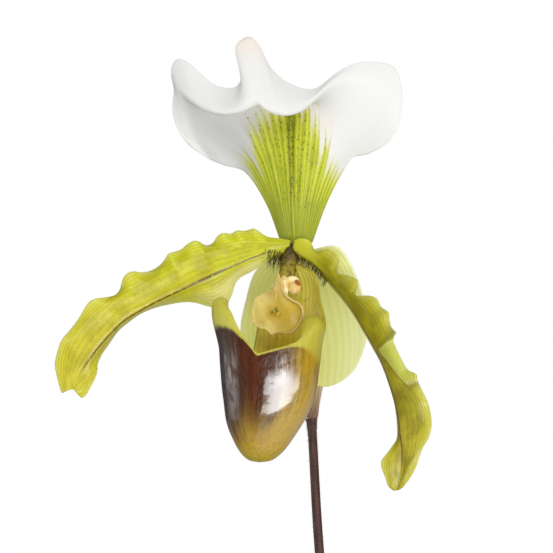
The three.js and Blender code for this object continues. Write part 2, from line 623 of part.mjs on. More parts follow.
// A pouch with a wall: the outer and the inner surface, joined round the rim, each closed at its toe.
function pouchGeometry() {
  const around = 28;
  const along = 11;
  const faces = [pouchSurface(0), pouchSurface(POUCH_WALL)].map((surface) => {
    const rings = [];
    for (let j = 1; j <= along; j++) {
      const ring = [];
      for (let i = 0; i < around; i++) ring.push(surface(i / around, j / along));
      rings.push(ring);
    }
    return { rings, toe: surface(0, 0) };
  });
  const [outer, inner] = faces;
  const rings = [...outer.rings, ...inner.rings.reverse()];
  return ringsGeometry(rings, outer.toe, inner.toe);
}

// Column: the short thick body in the flower's heart, with the round stigma under its end and a neck
// that carries the staminodium. extra makes it fatter, to cut its seat from what lies against it.
function columnSolid(extra = 0) {
  const line = new THREE.CatmullRomCurve3([
    facing(0, 1.2, -1),
    facing(0, 3.4, -2.6),
    facing(0, 5, -5),
    facing(0, 5.8, -8),
    facing(0.1, 7.7, -11.2),
  ]);
  const rod = solidOf(rodGeometry(line, (at) => 1.95 - 1.0 * at + extra, 9, 10));
  const stigma = new THREE.IcosahedronGeometry(2.1 + extra, 1).scale(1.2, 0.8, 1).translate(...facing(0.2, 4.4, -9));
  const neck = new THREE.IcosahedronGeometry(0.95 + extra, 1).translate(...facing(0.1, 7.75, -11.2));
  return rod.add(solidOf(stigma)).add(solidOf(neck));
}

// Anthers: one at each side of the column, a soft cushion beside a smaller lobe with a bead of pollen.
function antherSolid(side) {
  const cushion = new THREE.IcosahedronGeometry(1, 1).scale(1.25, 1.1, 2.3).rotateZ(-FLOWER_TURN);
  const lobe = new THREE.IcosahedronGeometry(1, 1).scale(1.3, 1, 1.7);
  const bead = new THREE.IcosahedronGeometry(0.75, 0);
  return solidOf(cushion.translate(...facing(1.9 * side, 7, -8.9)))
    .add(solidOf(lobe.translate(...facing(3.4 * side, 6.2, -8.2))))
    .add(solidOf(bead.translate(...facing(4.5 * side, 6.1, -7.6))));
}

// Staminodium: the shield in front of the column, broad below, with a narrow spur on top.
const SHIELD_HALF_WIDTHS = [
  [-19.5, 2.2], [-18.9, 4.8], [-17.5, 6.2], [-15.6, 6.65], [-14, 6.2], [-12.9, 5.2], [-11.6, 3.4],
  [-10.4, 1.6], [-9.4, 0.85], [-8.4, 0.6], [-6.5, 0.45],
];

function shieldSurface() {
  return (u, v) => {
    const height = THREE.MathUtils.lerp(-19.5, -6.5, v);
    const side = 2 * u - 1;
    const right = valueAlong(SHIELD_HALF_WIDTHS, height) * side;
    const boss = 0.8 * Math.exp(-((right / 1.1) ** 2) - ((height + 15.2) / 1.3) ** 2);
    const bowl = -0.012 * right * right + 0.012 * (height + 14) ** 2;
    return facing(right + 0.1, 9.6 + bowl + boss + 0.1 * (-14 - height), height);
  };
}

addPiece(orchid, "pot", potGeometry(), "clay");
addPiece(orchid, "bark", barkGeometry(), "bark");
addPiece(orchid, "main_crown", crownGeometry(MAIN_CROWN), "crown");
addPiece(orchid, "young_crown", crownGeometry(YOUNG_CROWN), "crown");
addFan("main", MAIN_CROWN, MAIN_LEAVES);
addFan("young", YOUNG_CROWN, YOUNG_LEAVES);

const seat = ovaryGeometry(SEAT_GAP);
const columnSeat = columnSolid(SEAT_GAP);
const sheet = (veins, across, along) =>
  solidOf(sheetGeometry(surfaceThrough(veins), across, along, TEPAL_THICKNESS));

addPiece(flower, "stem", stemGeometry(), "stem");
addPiece(flower, "bract", sheetGeometry(bractSurface(), 4, 8, 0.6), "ovary");
addPiece(flower, "ovary", geometryOf(ovaryGeometry()), "ovary");
addPiece(flower, "dorsal_sepal", geometryOf(cutBody(sheet(DORSAL_VEINS, 24, 15), seat)), "dorsal_sepal");
addPiece(flower, "lower_sepal", geometryOf(cutBody(sheet(LOWER_SEPAL_VEINS, 10, 10), seat)), "lower_sepal");
addPiece(flower, "left_petal", geometryOf(cutBody(solidOf(petalGeometry(LEFT_PETAL, LEFT_CRESTS)), seat)), "petal");
addPiece(flower, "right_petal", geometryOf(cutBody(solidOf(petalGeometry(RIGHT_PETAL, RIGHT_CRESTS)), seat)), "petal");
addPiece(flower, "pouch", geometryOf(cutBody(solidOf(pouchGeometry()), seat)), "pouch");
addPiece(flower, "column", geometryOf(cutBody(columnSolid(), seat)), "column");
addPiece(flower, "left_anther", geometryOf(cutBody(antherSolid(-1), columnSeat)), "anther");
addPiece(flower, "right_anther", geometryOf(cutBody(antherSolid(1), columnSeat)), "anther");
addPiece(flower, "staminodium", sheetGeometry(shieldSurface(), 8, 12, 0.7), "staminodium");
orchid.add(flower);

export default orchid;
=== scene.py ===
import math
import random

import bmesh
import bpy
import numpy as np
from mathutils import Matrix, Vector


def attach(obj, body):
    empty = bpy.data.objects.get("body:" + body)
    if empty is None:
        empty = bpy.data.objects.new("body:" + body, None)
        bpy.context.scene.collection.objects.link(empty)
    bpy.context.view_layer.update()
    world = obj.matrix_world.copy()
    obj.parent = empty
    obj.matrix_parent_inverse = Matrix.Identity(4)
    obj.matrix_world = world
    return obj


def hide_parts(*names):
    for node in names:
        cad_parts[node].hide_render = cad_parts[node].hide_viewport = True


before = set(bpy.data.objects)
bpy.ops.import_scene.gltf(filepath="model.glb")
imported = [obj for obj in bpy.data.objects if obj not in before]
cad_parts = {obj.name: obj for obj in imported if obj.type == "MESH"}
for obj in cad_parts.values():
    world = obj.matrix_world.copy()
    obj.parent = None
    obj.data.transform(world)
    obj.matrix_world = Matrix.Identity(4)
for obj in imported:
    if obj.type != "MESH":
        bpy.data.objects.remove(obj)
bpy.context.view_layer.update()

# A potted slipper orchid in bloom. Sizes are in millimetres and turned into metres when a mesh is made. The
# flower's own sizes count from its heart, where its parts meet: x right, y away from the viewer, z up.
MM = 0.001
FLOWER = np.array([-11.5, -21.0, 332.0])
EYE = (-3.63, -900, -7.37)  # the camera, from the flower's heart
PIXEL = 0.22  # the photo's, at the flower's heart
PHOTO_MIDDLE = 276.5
FLOWER_TURN = math.radians(25)

POT_HEIGHT = 104
POT_FOOT_RADIUS = 40
POT_SHOULDER_RADIUS = 50
POT_BAND_RADIUS = 57
POT_BAND_HEIGHT = 22
POT_WALL = 5.5
POT_FLOOR = 7
POT_LIP = 3  # how far below its top the mouth begins to widen
POT_CHAMFER = 1.5
POT_FILLET = 2
POT_INNER_FOOT = POT_FOOT_RADIUS - POT_WALL + 1
POT_INNER_TOP = POT_SHOULDER_RADIUS - 1
DRAIN_HOLES = 4
DRAIN_HOLE_RADIUS = 5
DRAIN_CIRCLE_RADIUS = 21
DRAIN_DRILL = 30  # long enough to pass through the floor
BARK_LEVEL = 88
BARK_CHIPS = 250
CHIP_SIZE = (15, 9.5, 5.6)
GOLDEN_TURN = math.pi * (3 - math.sqrt(5))
SEAT_GAP = 0.3

# Each crown: right, back and radius
CROWN_DEPTH = 26
CROWN_STAND = 3
LEAF_FOOT = BARK_LEVEL + CROWN_STAND + SEAT_GAP
MAIN_CROWN = (3, 5, 12.5)
YOUNG_CROWN = (-17, -27, 8)

LEAF_THICKNESS = 0.9
LEAF_KEEL = 0.34  # how high a blade's edges stand over its keel, as a share of its half width
BRACT_THICKNESS = 0.6
DORSAL_THICKNESS = 0.55
LOWER_SEPAL_THICKNESS = 0.6
PETAL_THICKNESS = 0.65
POUCH_WALL = 0.9
SHIELD_THICKNESS = 0.6


# Numbers and smooth lines
def smooth(value, low, high):
    """0 below low, 1 above high and smooth between."""
    share = np.clip((np.asarray(value, float) - low) / (high - low), 0, 1)
    return share * share * (3 - 2 * share)


def hump(value, centre, width):
    """1 at the centre, falling off on both sides."""
    return np.exp(-(((value - centre) / width) ** 2))


def along(pairs, at):
    """A number read off a smooth curve through (place, value) pairs."""
    places = np.array([p for p, _ in pairs], float)
    values = np.array([v for _, v in pairs], float)
    slopes = np.empty(len(pairs))
    slopes[1:-1] = (values[2:] - values[:-2]) / (places[2:] - places[:-2])
    slopes[0] = (values[1] - values[0]) / (places[1] - places[0])
    slopes[-1] = (values[-1] - values[-2]) / (places[-1] - places[-2])
    at = np.clip(np.asarray(at, float), places[0], places[-1])
    k = np.clip(np.searchsorted(places, at, side="right") - 1, 0, len(pairs) - 2)
    width = places[k + 1] - places[k]
    t = (at - places[k]) / width
    return (
        values[k] * (1 + 2 * t) * (1 - t) ** 2
        + values[k + 1] * t * t * (3 - 2 * t)
        + slopes[k] * width * t * (1 - t) ** 2
        - slopes[k + 1] * width * t * t * (1 - t)
    )


def spline(points, places):
    """Points on the smooth lines through points, which has the shape (count, lines, 3)."""
    points = np.asarray(points, float)
    count = len(points)
    at = np.clip(np.asarray(places, float) * (count - 1), 0, count - 1)
    k = np.minimum(at.astype(int), count - 2)
    share = (at - k)[:, None, None]
    before = 2 * points[0] - points[1]
    after = 2 * points[-1] - points[-2]
    padded = np.concatenate([before[None], points, after[None]])
    a, b, c, d = (padded[k + n] for n in range(4))

    def step(p, q):
        return np.maximum(np.linalg.norm(q - p, axis=-1, keepdims=True), 1e-9) ** 0.5

    ab, bc, cd = step(a, b), step(b, c), step(c, d)
    first = ((b - a) / ab - (c - a) / (ab + bc) + (c - b) / bc) * bc
    second = ((c - b) / bc - (d - b) / (bc + cd) + (d - c) / cd) * bc
    return (
        b
        + first * share
        + (3 * (c - b) - 2 * first - second) * share**2
        + (2 * (b - c) + first + second) * share**3
    )


def line_at(points, places):
    """Points on the smooth line through points."""
    return spline(np.asarray(points, float)[:, None, :], places)[:, 0]


def unit(vectors):
    """Vectors in the same directions, each 1 long."""
    return vectors / np.maximum(np.linalg.norm(vectors, axis=-1, keepdims=True), 1e-12)


def net(ribs, across, lengthwise):
    """The surface through ribs that run from root to tip: an array of (across, lengthwise, 3)."""
    lines = spline(np.swapaxes(np.asarray(ribs, float), 0, 1), lengthwise)
    return spline(np.swapaxes(lines, 0, 1), across)


def facing(right, front, up):
    """A point of the flower, given right of it, out in front of it and up."""
    sin, cos = math.sin(FLOWER_TURN), math.cos(FLOWER_TURN)
    return np.stack(
        np.broadcast_arrays(right * cos - front * sin, -right * sin - front * cos, np.asarray(up, float)),
        axis=-1,
    )


# Meshes
def finished(name, bm, material, smoothed=True):
    """A piece made from a mesh under work, with one material or a list of them."""
    mesh = bpy.data.meshes.new(name)
    bm.to_mesh(mesh)
    bm.free()
    piece = bpy.data.objects.new(name, mesh)
    bpy.context.scene.collection.objects.link(piece)
    for each in material if isinstance(material, (list, tuple)) else [material]:
        mesh.materials.append(each)
    if smoothed:
        mesh.shade_smooth()
    return piece


def sheet_mesh(places, closed_round=False, shares=None):
    """A grid bent to places, an array of (across, lengthwise, 3) in millimetres, with its UV map. shares are
    the places of its columns in that map, where they aren't evenly spaced."""
    across, lengthwise = places.shape[:2]
    bm = bmesh.new()
    marks = bm.loops.layers.uv.new("UVMap")
    bmesh.ops.create_grid(bm, x_segments=across - 1, y_segments=lengthwise - 1, size=0.5, calc_uvs=True)
    if shares is not None:
        for face in bm.faces:
            for corner in face.loops:
                corner[marks].uv.x = shares[round(corner[marks].uv.x * (across - 1))]
    for vert in bm.verts:
        i = round((vert.co.x + 0.5) * (across - 1))
        j = round((vert.co.y + 0.5) * (lengthwise - 1))
        vert.co = Vector(places[i, j] * MM)
    if closed_round:
        bmesh.ops.remove_doubles(bm, verts=bm.verts, dist=2e-6)
    bmesh.ops.recalc_face_normals(bm, faces=bm.faces)
    return bm


def add_wall(piece, thickness, offset=0.0, inner_slot=0):
    """Gives a sheet its thickness. inner_slot numbers the material of the side that this adds."""
    wall = piece.modifiers.new("wall", "SOLIDIFY")
    wall.thickness = thickness * MM
    wall.offset = offset
    wall.use_even_offset = True
    wall.material_offset = inner_slot
    wall.material_offset_rim = inner_slot


def round_off(piece, levels=1):
    """Smooths a piece by subdivision."""
    rounding = piece.modifiers.new("rounding", "SUBSURF")
    rounding.levels = levels
    rounding.render_levels = levels


def leafy_sheet(name, places, thickness, material, shares=None):
    """A thin grown sheet, such as a leaf or a petal."""
    piece = finished(name, sheet_mesh(places, shares=shares), material)
    add_wall(piece, thickness)
    round_off(piece)
    return piece


def rod_places(line, radius, stations, sides, ribs=0, rib_depth=0.0):
    """Rings along a line, with both ends drawn in to a point: an array of (sides + 1, rings, 3)."""
    near_end = 0.0015
    shares = np.linspace(0, 1, stations)
    shares = np.concatenate([[0, near_end], shares[1:-1], [1 - near_end, 1]])
    centres = line_at(line, shares)
    dense = np.linspace(0, 1, 200)
    ahead = unit(np.gradient(line_at(line, dense), axis=0))
    ahead = unit(np.stack([np.interp(shares, dense, ahead[:, n]) for n in range(3)], axis=1))
    off_the_line = [0.3, 0.9, 0.1]
    aside = unit(np.cross(ahead[0], off_the_line))
    first = []
    for direction in ahead:
        aside = unit(aside - direction * np.dot(aside, direction))
        first.append(aside)
    first = np.array(first)
    second = np.cross(ahead, first)
    radii = along(radius, shares)
    radii[0] = radii[-1] = 0.0
    turn = np.linspace(0, 2 * math.pi, sides + 1)[:, None, None]
    relief = 1 + rib_depth * np.cos(ribs * turn) if ribs else 1
    reach = radii[None, :, None] * relief
    return centres[None] + reach * (first[None] * np.cos(turn) + second[None] * np.sin(turn))


def lathe_mesh(profile, sides, centre=(0, 0)):
    """A profile of (radius, height) pairs spun about an upright axis."""
    bm = bmesh.new()
    axis = Vector((centre[0] * MM, centre[1] * MM, 0))
    verts = [bm.verts.new(axis + Vector((r * MM, 0, h * MM))) for r, h in profile]
    edges = [bm.edges.new(pair) for pair in zip(verts, verts[1:])]
    bmesh.ops.spin(
        bm, geom=verts + edges, cent=axis, axis=(0, 0, 1), angle=2 * math.pi, steps=sides, use_merge=True
    )
    bmesh.ops.remove_doubles(bm, verts=bm.verts, dist=1e-6)
    bmesh.ops.recalc_face_normals(bm, faces=bm.faces)
    return bm


def add_ball(bm, centre, size, turn=0.0, level=3):
    """An egg shape with the given half sizes, turned about the upright."""
    place = Matrix.Translation(Vector(centre) * MM) @ Matrix.Rotation(turn, 4, "Z")
    place = place @ Matrix.Diagonal((*(s * MM for s in size), 1))
    bmesh.ops.create_icosphere(bm, subdivisions=level, radius=1, matrix=place)


def add_bristle(bm, foot, tip, thickness, sag=0.0):
    """One hair: a thin three-sided spike from foot to tip, in millimetres."""
    foot, tip = Vector(foot) * MM, Vector(tip) * MM
    reach = tip - foot
    turn = Vector((0, 0, 1)).rotation_difference(reach.normalized()).to_matrix().to_4x4()
    place = Matrix.Translation((foot + tip) / 2) @ turn
    made = bmesh.ops.create_cone(
        bm, cap_ends=True, cap_tris=True, segments=3, radius1=thickness * MM / 2,
        radius2=thickness * MM / 9, depth=reach.length, matrix=place,
    )
    if sag:
        for vert in made["verts"]:
            share = (vert.co - foot).length / reach.length
            vert.co.z -= sag * MM * share * share


# Materials
def paint(code):
    """A colour from its six-figure code."""
    parts = [int(code[n : n + 2], 16) / 255 for n in (1, 3, 5)]
    return (*(p / 12.92 if p <= 0.04045 else ((p + 0.055) / 1.055) ** 2.4 for p in parts), 1.0)


class Field:
    """A number or colour that varies over a surface, as a socket that can be worked with."""

    def __init__(self, finish, socket):
        self.finish = finish
        self.socket = socket

    def apply(self, kind, other=None, third=None):
        """What one of the math node's operations makes of this value."""
        node = self.finish.nodes.new("ShaderNodeMath")
        node.operation = kind
        for place, value in enumerate((self, other, third)):
            if value is not None:
                self.finish.feed(node.inputs[place], value)
        return Field(self.finish, node.outputs[0])

    def __add__(self, other):
        return self.apply("ADD", other)

    def __sub__(self, other):
        return self.apply("SUBTRACT", other)

    def __mul__(self, other):
        return self.apply("MULTIPLY", other)

    def __truediv__(self, other):
        return self.apply("DIVIDE", other)

    __radd__ = __add__
    __rmul__ = __mul__

    def __rsub__(self, other):
        return self.apply("MULTIPLY_ADD", -1.0, other)

    def size(self):
        return self.apply("ABSOLUTE")

    def power(self, exponent):
        return self.apply("POWER", exponent)

    def rise(self, low, high):
        """0 below low, 1 above high and smooth between. low may be above high."""
        node = self.finish.nodes.new("ShaderNodeMapRange")
        node.interpolation_type = "SMOOTHSTEP"
        flip = not isinstance(low, Field) and not isinstance(high, Field) and low > high
        self.finish.feed(node.inputs["Value"], self)
        self.finish.feed(node.inputs["From Min"], high if flip else low)
        self.finish.feed(node.inputs["From Max"], low if flip else high)
        made = Field(self.finish, node.outputs["Result"])
        return 1.0 - made if flip else made

    def bell(self, centre, width):
        """1 at centre, falling off on both sides."""
        away = (self - centre) / width
        return (away * away * -1.0).apply("EXPONENT")

    def lines(self, count, sharpness=2.0):
        """1 on each of count lines across a span of 1, and 0 half way between them."""
        wave = (self * count).apply("FRACT") - 0.5
        return (wave.size() * 2.0).power(sharpness)

    def at_most(self, top=1.0):
        return self.apply("MINIMUM", top)


class Finish:
    """A material, with the few nodes that its pattern is made of."""

    def __init__(self, name, color="#808080", roughness=0.5, **sockets):
        self.material = bpy.data.materials.new(name)
        self.material.use_nodes = True
        self.nodes = self.material.node_tree.nodes
        self.links = self.material.node_tree.links
        self.body = self.nodes["Principled BSDF"]
        self.body.inputs["Base Color"].default_value = paint(color)
        self.body.inputs["Roughness"].default_value = roughness
        for socket, value in sockets.items():
            self.body.inputs[socket.replace("_", " ")].default_value = value
        self.places = self.nodes.new("ShaderNodeTexCoord")

    def feed(self, socket, value):
        if isinstance(value, Field):
            self.links.new(value.socket, socket)
        else:
            socket.default_value = value

    def uv(self):
        """The place across and along the piece, each from 0 to 1."""
        parts = self.nodes.new("ShaderNodeSeparateXYZ")
        self.links.new(self.places.outputs["UV"], parts.inputs[0])
        return Field(self, parts.outputs["X"]), Field(self, parts.outputs["Y"])

    def spot(self):
        """The place to the right and up, in metres."""
        parts = self.nodes.new("ShaderNodeSeparateXYZ")
        self.links.new(self.places.outputs["Object"], parts.inputs[0])
        return Field(self, parts.outputs["X"]), Field(self, parts.outputs["Z"])

    def scaled(self, x, y, z=None):
        """The UV map drawn out x and y times, or with z given the object's own metres."""
        mapping = self.nodes.new("ShaderNodeMapping")
        mapping.inputs["Scale"].default_value = (x, y, z or 1.0)
        self.links.new(self.places.outputs["Object" if z else "UV"], mapping.inputs["Vector"])
        return mapping.outputs["Vector"]

    def noise(self, x, y, z=None, detail=3.0, rough=0.5):
        """Soft noise from 0 to 1, as fine as x, y and z say."""
        node = self.nodes.new("ShaderNodeTexNoise")
        self.links.new(self.scaled(x, y, z), node.inputs["Vector"])
        node.inputs["Scale"].default_value = 1.0
        node.inputs["Detail"].default_value = detail
        node.inputs["Roughness"].default_value = rough
        return Field(self, node.outputs["Fac"])

    def dots(self, x, y):
        """Distance to the nearest of many scattered points, and a number of that point's own."""
        node = self.nodes.new("ShaderNodeTexVoronoi")
        self.links.new(self.scaled(x, y), node.inputs["Vector"])
        node.inputs["Scale"].default_value = 1.0
        own = self.nodes.new("ShaderNodeSeparateXYZ")
        self.links.new(node.outputs["Color"], own.inputs[0])
        return Field(self, node.outputs["Distance"]), Field(self, own.outputs["X"])

    def specks(self, x, y, edge, few):
        """Scattered specks with an edge from outside to in. few says which of the points have one."""
        distance, own = self.dots(x, y)
        return distance.rise(*edge) * own.rise(*few)

    def own_number(self, value):
        """A number of its own for each whole step of value."""
        node = self.nodes.new("ShaderNodeTexWhiteNoise")
        node.noise_dimensions = "1D"
        self.feed(node.inputs["W"], value.apply("FLOOR"))
        return Field(self, node.outputs["Value"])

    def blend(self, share, first, second):
        """The first colour where share is 0 and the second where it is 1."""
        node = self.nodes.new("ShaderNodeMix")
        node.data_type = "RGBA"
        self.feed(node.inputs["Factor"], share)
        sockets = [s for s in node.inputs if s.type == "RGBA"]
        for socket, value in zip(sockets, (first, second)):
            self.feed(socket, paint(value) if isinstance(value, str) else value)
        return Field(self, next(s for s in node.outputs if s.type == "RGBA"))

    def ground(self, share, first, second):
        """The lowest coat of colour."""
        self.coat = self.blend(share, first, second)

    def over(self, share, color):
        """A further coat, as thick as share says."""
        self.coat = self.blend(share, self.coat, color)

    def done(self, height, depth, through=0.0):
        """The material with its coats and its relief. In thin tissue, part of the light shines through."""
        self.feed(self.body.inputs["Base Color"], self.coat)
        self.relief(height, depth)
        if through:
            self.let_light_through(through)
        return self.material

    def relief(self, height, depth):
        """Bump of a given depth in millimetres."""
        bump = self.nodes.new("ShaderNodeBump")
        bump.inputs["Strength"].default_value = 1.0
        bump.inputs["Distance"].default_value = depth * MM
        self.feed(bump.inputs["Height"], height)
        self.links.new(bump.outputs["Normal"], self.body.inputs["Normal"])

    def let_light_through(self, share):
        """A share of the light that falls on the back shows in front, in the surface's own colour."""
        through = self.nodes.new("ShaderNodeBsdfTranslucent")
        self.feed(through.inputs["Color"], self.coat)
        both = self.nodes.new("ShaderNodeMixShader")
        both.inputs["Fac"].default_value = share
        self.links.new(self.body.outputs[0], both.inputs[1])
        self.links.new(through.outputs[0], both.inputs[2])
        self.links.new(both.outputs[0], self.nodes["Material Output"].inputs["Surface"])


def white_sepal_finish():
    """White, with a yellow-green foot that runs up in streaks, dotted along its veins and its dark middle.
    Painted grey shade lies over the left of the hood, and a painted glint along the groove in the foot.
    """
    finish = Finish("white_sepal", roughness=0.42)
    u, v = finish.uv()
    side = (u - 0.5).size() * 2.0
    wobble = finish.noise(7, 5, detail=2.0) - 0.5
    count = (u + wobble * 0.014) * 24.0
    vein = 1.0 - count.lines(1.0, 1.4)
    reach = 0.57 - side.rise(0.08, 0.85) * 0.17
    reach = reach + (finish.own_number(count + 0.5) - 0.5) * 0.1 + vein * 0.05 + u.bell(0.5, 0.04) * 0.09
    ragged = finish.noise(90, 14) - 0.5
    white = (v + ragged * 0.12).rise(reach - 0.12, reach)
    tissue = finish.blend(vein.rise(0.25, 0.95) * 0.62, "#d6dc30", "#9fab10")
    tissue = finish.blend(u.rise(0.515, 0.42) * 0.2, tissue, "#97a512")
    tissue = finish.blend(finish.noise(12, 9).rise(0.45, 0.7) * 0.35, tissue, "#94a318")
    tissue = finish.blend((v - reach).rise(-0.2, -0.04) * 0.6, tissue, "#e4e04a")
    middle = (u + wobble * 0.008).bell(0.5, 0.03) * v.rise(0.6, 0.52) * v.rise(0.1, 0.28)
    tissue = finish.blend(middle * 0.5, tissue, "#5f6a0c")
    tissue = finish.blend(v.rise(0.3, 0.08) * 0.4, tissue, "#86920e")
    blush = v.bell(reach + 0.04, 0.07) * side.rise(0.75, 0.5) * 0.4
    petal = finish.blend(blush, "#ececea", "#efe2d6")
    # painted shade: grey over the left of the hood and the wing below it, which turn away from the light
    petal = finish.blend(u.rise(0.42, 0.26) * v.rise(0.84, 0.74) * 0.8, petal, "#cfd0cf")
    petal = finish.blend(v.rise(0.93, 1.0) * (u - 0.5).size().rise(0.12, 0.03) * 0.6, petal, "#f1e0cf")
    finish.ground(white, tissue, petal)
    distance, own = finish.dots(98, 92)
    crowd = middle * 1.2 + side.rise(0.85, 0.2) * vein.rise(0.2, 0.8) * 0.65
    crowd = crowd * (1.0 - white) * v.rise(0.06, 0.2)
    dotted = distance.rise(0.46, 0.28) * (own - (1.0 - crowd)).rise(0.0, 0.05)
    finish.over(dotted * 0.7, "#4a3f10")
    # painted glint: a thin pale line of highlight along the groove in the foot
    groove = (u + wobble * 0.006).bell(0.508, 0.004) * v.rise(0.04, 0.1) * v.rise(0.34, 0.22)
    finish.over(groove * ragged.rise(-0.1, 0.1) * 0.8, "#f4f2cc")
    height = vein * 0.6 * (1.0 - white * 0.7) + finish.noise(90, 60) * 0.35
    return finish.done(height, 0.16, through=0.27)


def pale_sepal_finish():
    """Pale yellow green, greener at its foot and near its middle, with fine soft veins."""
    finish = Finish("pale_sepal", roughness=0.45)
    u, v = finish.uv()
    wobble = finish.noise(4, 3, detail=2.0) - 0.5
    place = u + wobble * 0.03
    vein = 1.0 - place.lines(18.0, 1.2)
    tissue = finish.blend(v.rise(0.1, 0.9) * u.rise(0.45, 0.85), "#f3f49c", "#fbfdc4")
    finish.ground(vein.rise(0.3, 1.0) * u.rise(1.0, 0.6) * 0.15, tissue, "#d0dc60")
    finish.over(vein.rise(0.3, 1.0) * 0.06, "#c4ce52")
    finish.over((u - 0.5).size().rise(0.42, 0.5) * 0.5, "#f6f8d4")
    return finish.done(vein * 0.5 + finish.noise(70, 50) * 0.3, 0.1, through=0.28)


def petal_finish(name, tissue, brown, spread, under=0.0, fold=False):
    """Waxy yellow green with fine veins, paler waved edges and a thin brown middle vein. tissue has the
    colours near the root, near the tip and of the darker clouds, and under is how much painted light pales
    the lower part of the root.
    A fold is painted: a pale band of the petal's back with painted shadow on both sides, painted highlight on
    its edges, a paler root and a band of painted shade below it."""
    finish = Finish(name, roughness=0.36, Specular_IOR_Level=0.35, Coat_Weight=0.4, Coat_Roughness=0.1)
    u, v = finish.uv()
    root, tip, clouds = tissue
    wobble = finish.noise(2.5, 7, detail=2.0) - 0.5
    place = u + wobble * 0.02
    vein = 1.0 - place.lines(17.0, 1.2)
    finish.ground(v.rise(0.25, 0.95), root, tip)
    aside = (u - 0.5).size()
    finish.over(finish.noise(5, 14).rise(0.35, 0.65) * aside.rise(0.4, 0.25) * 0.7, clouds)
    finish.over(aside.rise(0.32, 0.49) * 0.7, "#e2e06a")
    # painted light: paler over the lower part of the root, which its angle keeps in shade
    finish.over(u.rise(0.46, 0.2) * v.rise(0.46, 0.3) * v.rise(0.06, 0.16) * under, "#fbf6a4")
    finish.over(vein.rise(0.3, 1.0) * 0.2, "#7f9114")
    wash = place.bell(0.5, spread) * v.rise(0.08, 0.4) * v.rise(1.0, 0.86)
    finish.over(wash * 0.15, brown)
    middle = place.bell(0.5, 0.018) * v.rise(0.03, 0.12) * v.rise(0.97, 0.88)
    broken = finish.noise(20, 60).rise(0.2, 0.5)
    finish.over(middle * broken * 0.9, "#452509")
    finish.over(finish.specks(40, 150, (0.34, 0.14), (0.66, 0.74)) * aside.rise(0.42, 0.2) * 0.5, "#6a5a14")
    if fold:
        above = v - 0.508 + u * 0.03
        below = 0.494 + u.rise(0.58, 0.8) * 0.141 - v
        inner = u.rise(0.56, 0.64)
        # painted shadow: darker bands on both sides of the painted fold
        finish.over(above.bell(-0.012, 0.01) * inner * 0.5, "#6f6c12")
        finish.over(below.bell(-0.012, 0.012) * inner * 0.5, "#7c7818")
        finish.over(above.rise(-0.006, 0.004) * below.rise(-0.004, 0.006) * inner * 0.75, "#d5da62")
        # painted highlight: pale lines along the fold's two edges
        rolled = (above.bell(0.0, 0.005) + below.bell(0.0, 0.007)).at_most(1.0) * inner
        finish.over(rolled * 0.5, "#e6e296")
        finish.over(v.rise(0.14, 0.04) * 0.7, "#e6e43c")
        # painted shade: a darker band below the fold, near the middle of the petal
        finish.over(v.bell(0.68, 0.06) * u.bell(0.58, 0.17) * 0.6, "#7f7808")
    return finish.done(vein * 0.4 + finish.noise(60, 200) * 0.4, 0.13, through=0.28)


def pouch_finish():
    """Glossy red brown that turns olive gold to the right and the toe, with a yellow-green rim and ears."""
    finish = Finish("pouch_outside", roughness=0.3, Specular_IOR_Level=0.4, Coat_IOR=2.0, Coat_Roughness=0.09)
    u, v = finish.uv()
    angle = u * 360.0 - 180.0
    streak = finish.noise(46, 5)
    fine = finish.noise(150, 22)
    blotch = finish.noise(26, 20)
    gold = (v + angle.rise(0.0, -36.0) * 0.16).rise(0.66, 0.27) * 0.9 + angle.rise(22.0, 80.0) * 0.8
    gold = (gold + (streak - 0.5) * 0.8).at_most(1.0)
    finish.ground(gold.rise(0.0, 1.0), "#4f2609", "#c4a01c")
    dark = angle.rise(-8.0, -50.0) * v.rise(0.2, 0.55)
    finish.over((dark * 0.85 + (blotch - 0.5) * 0.5).at_most(1.0), "#35130f")
    finish.over(angle.bell(2.0, 14.0) * v.rise(0.3, 0.5) * streak.rise(0.4, 0.6) * 0.5, "#742d10")
    finish.over(v.rise(0.34, 0.02) * 0.85, "#bbac22")
    finish.over(fine.rise(0.52, 0.75) * 0.4, "#35140c")
    ears = angle.bell(-74.0, 26.0) * 0.075 + angle.bell(92.0, 24.0) * 0.12
    slope = angle.bell(-38.0, 18.0) * 0.03
    behind = angle.size().rise(104.0, 135.0) * 0.3
    edge = 0.808 - ears - slope - behind + (fine - 0.5) * 0.02
    rim = v.rise(edge - 0.012 - ears * 0.4, edge + 0.006)
    lip = finish.blend(finish.noise(60, 12, detail=2.0), "#cdc830", "#e9e470")
    lip = finish.blend(angle.rise(30.0, 80.0) * 0.6, lip, "#b4a826")
    finish.over(rim, lip)
    shining = (angle - (v - 0.5) * 50.0 + (blotch - 0.5) * 60.0).rise(10.0, 20.0)
    patchy = (blotch.rise(0.35, 0.6) * angle.rise(2.0, -12.0) + shining).at_most(1.0) * 0.8 + 0.2
    streaked = (v.rise(0.72, 0.64) + streak.rise(0.45, 0.65) * fine.rise(0.4, 0.6) * 0.6).at_most(1.0)
    streaked = streaked * (1.0 - angle.rise(44.0, 56.0) * v.rise(0.6, 0.68) * 0.9)
    polish = (v - angle.rise(-4.0, -18.0) * 0.2).rise(0.1, 0.4) * 0.85 + 0.15
    finish.feed(finish.body.inputs["Coat Weight"], polish * patchy * streaked)
    return finish.done(streak * 0.35 + fine * 0.3 + blotch * 0.8, 0.42, through=0.25)


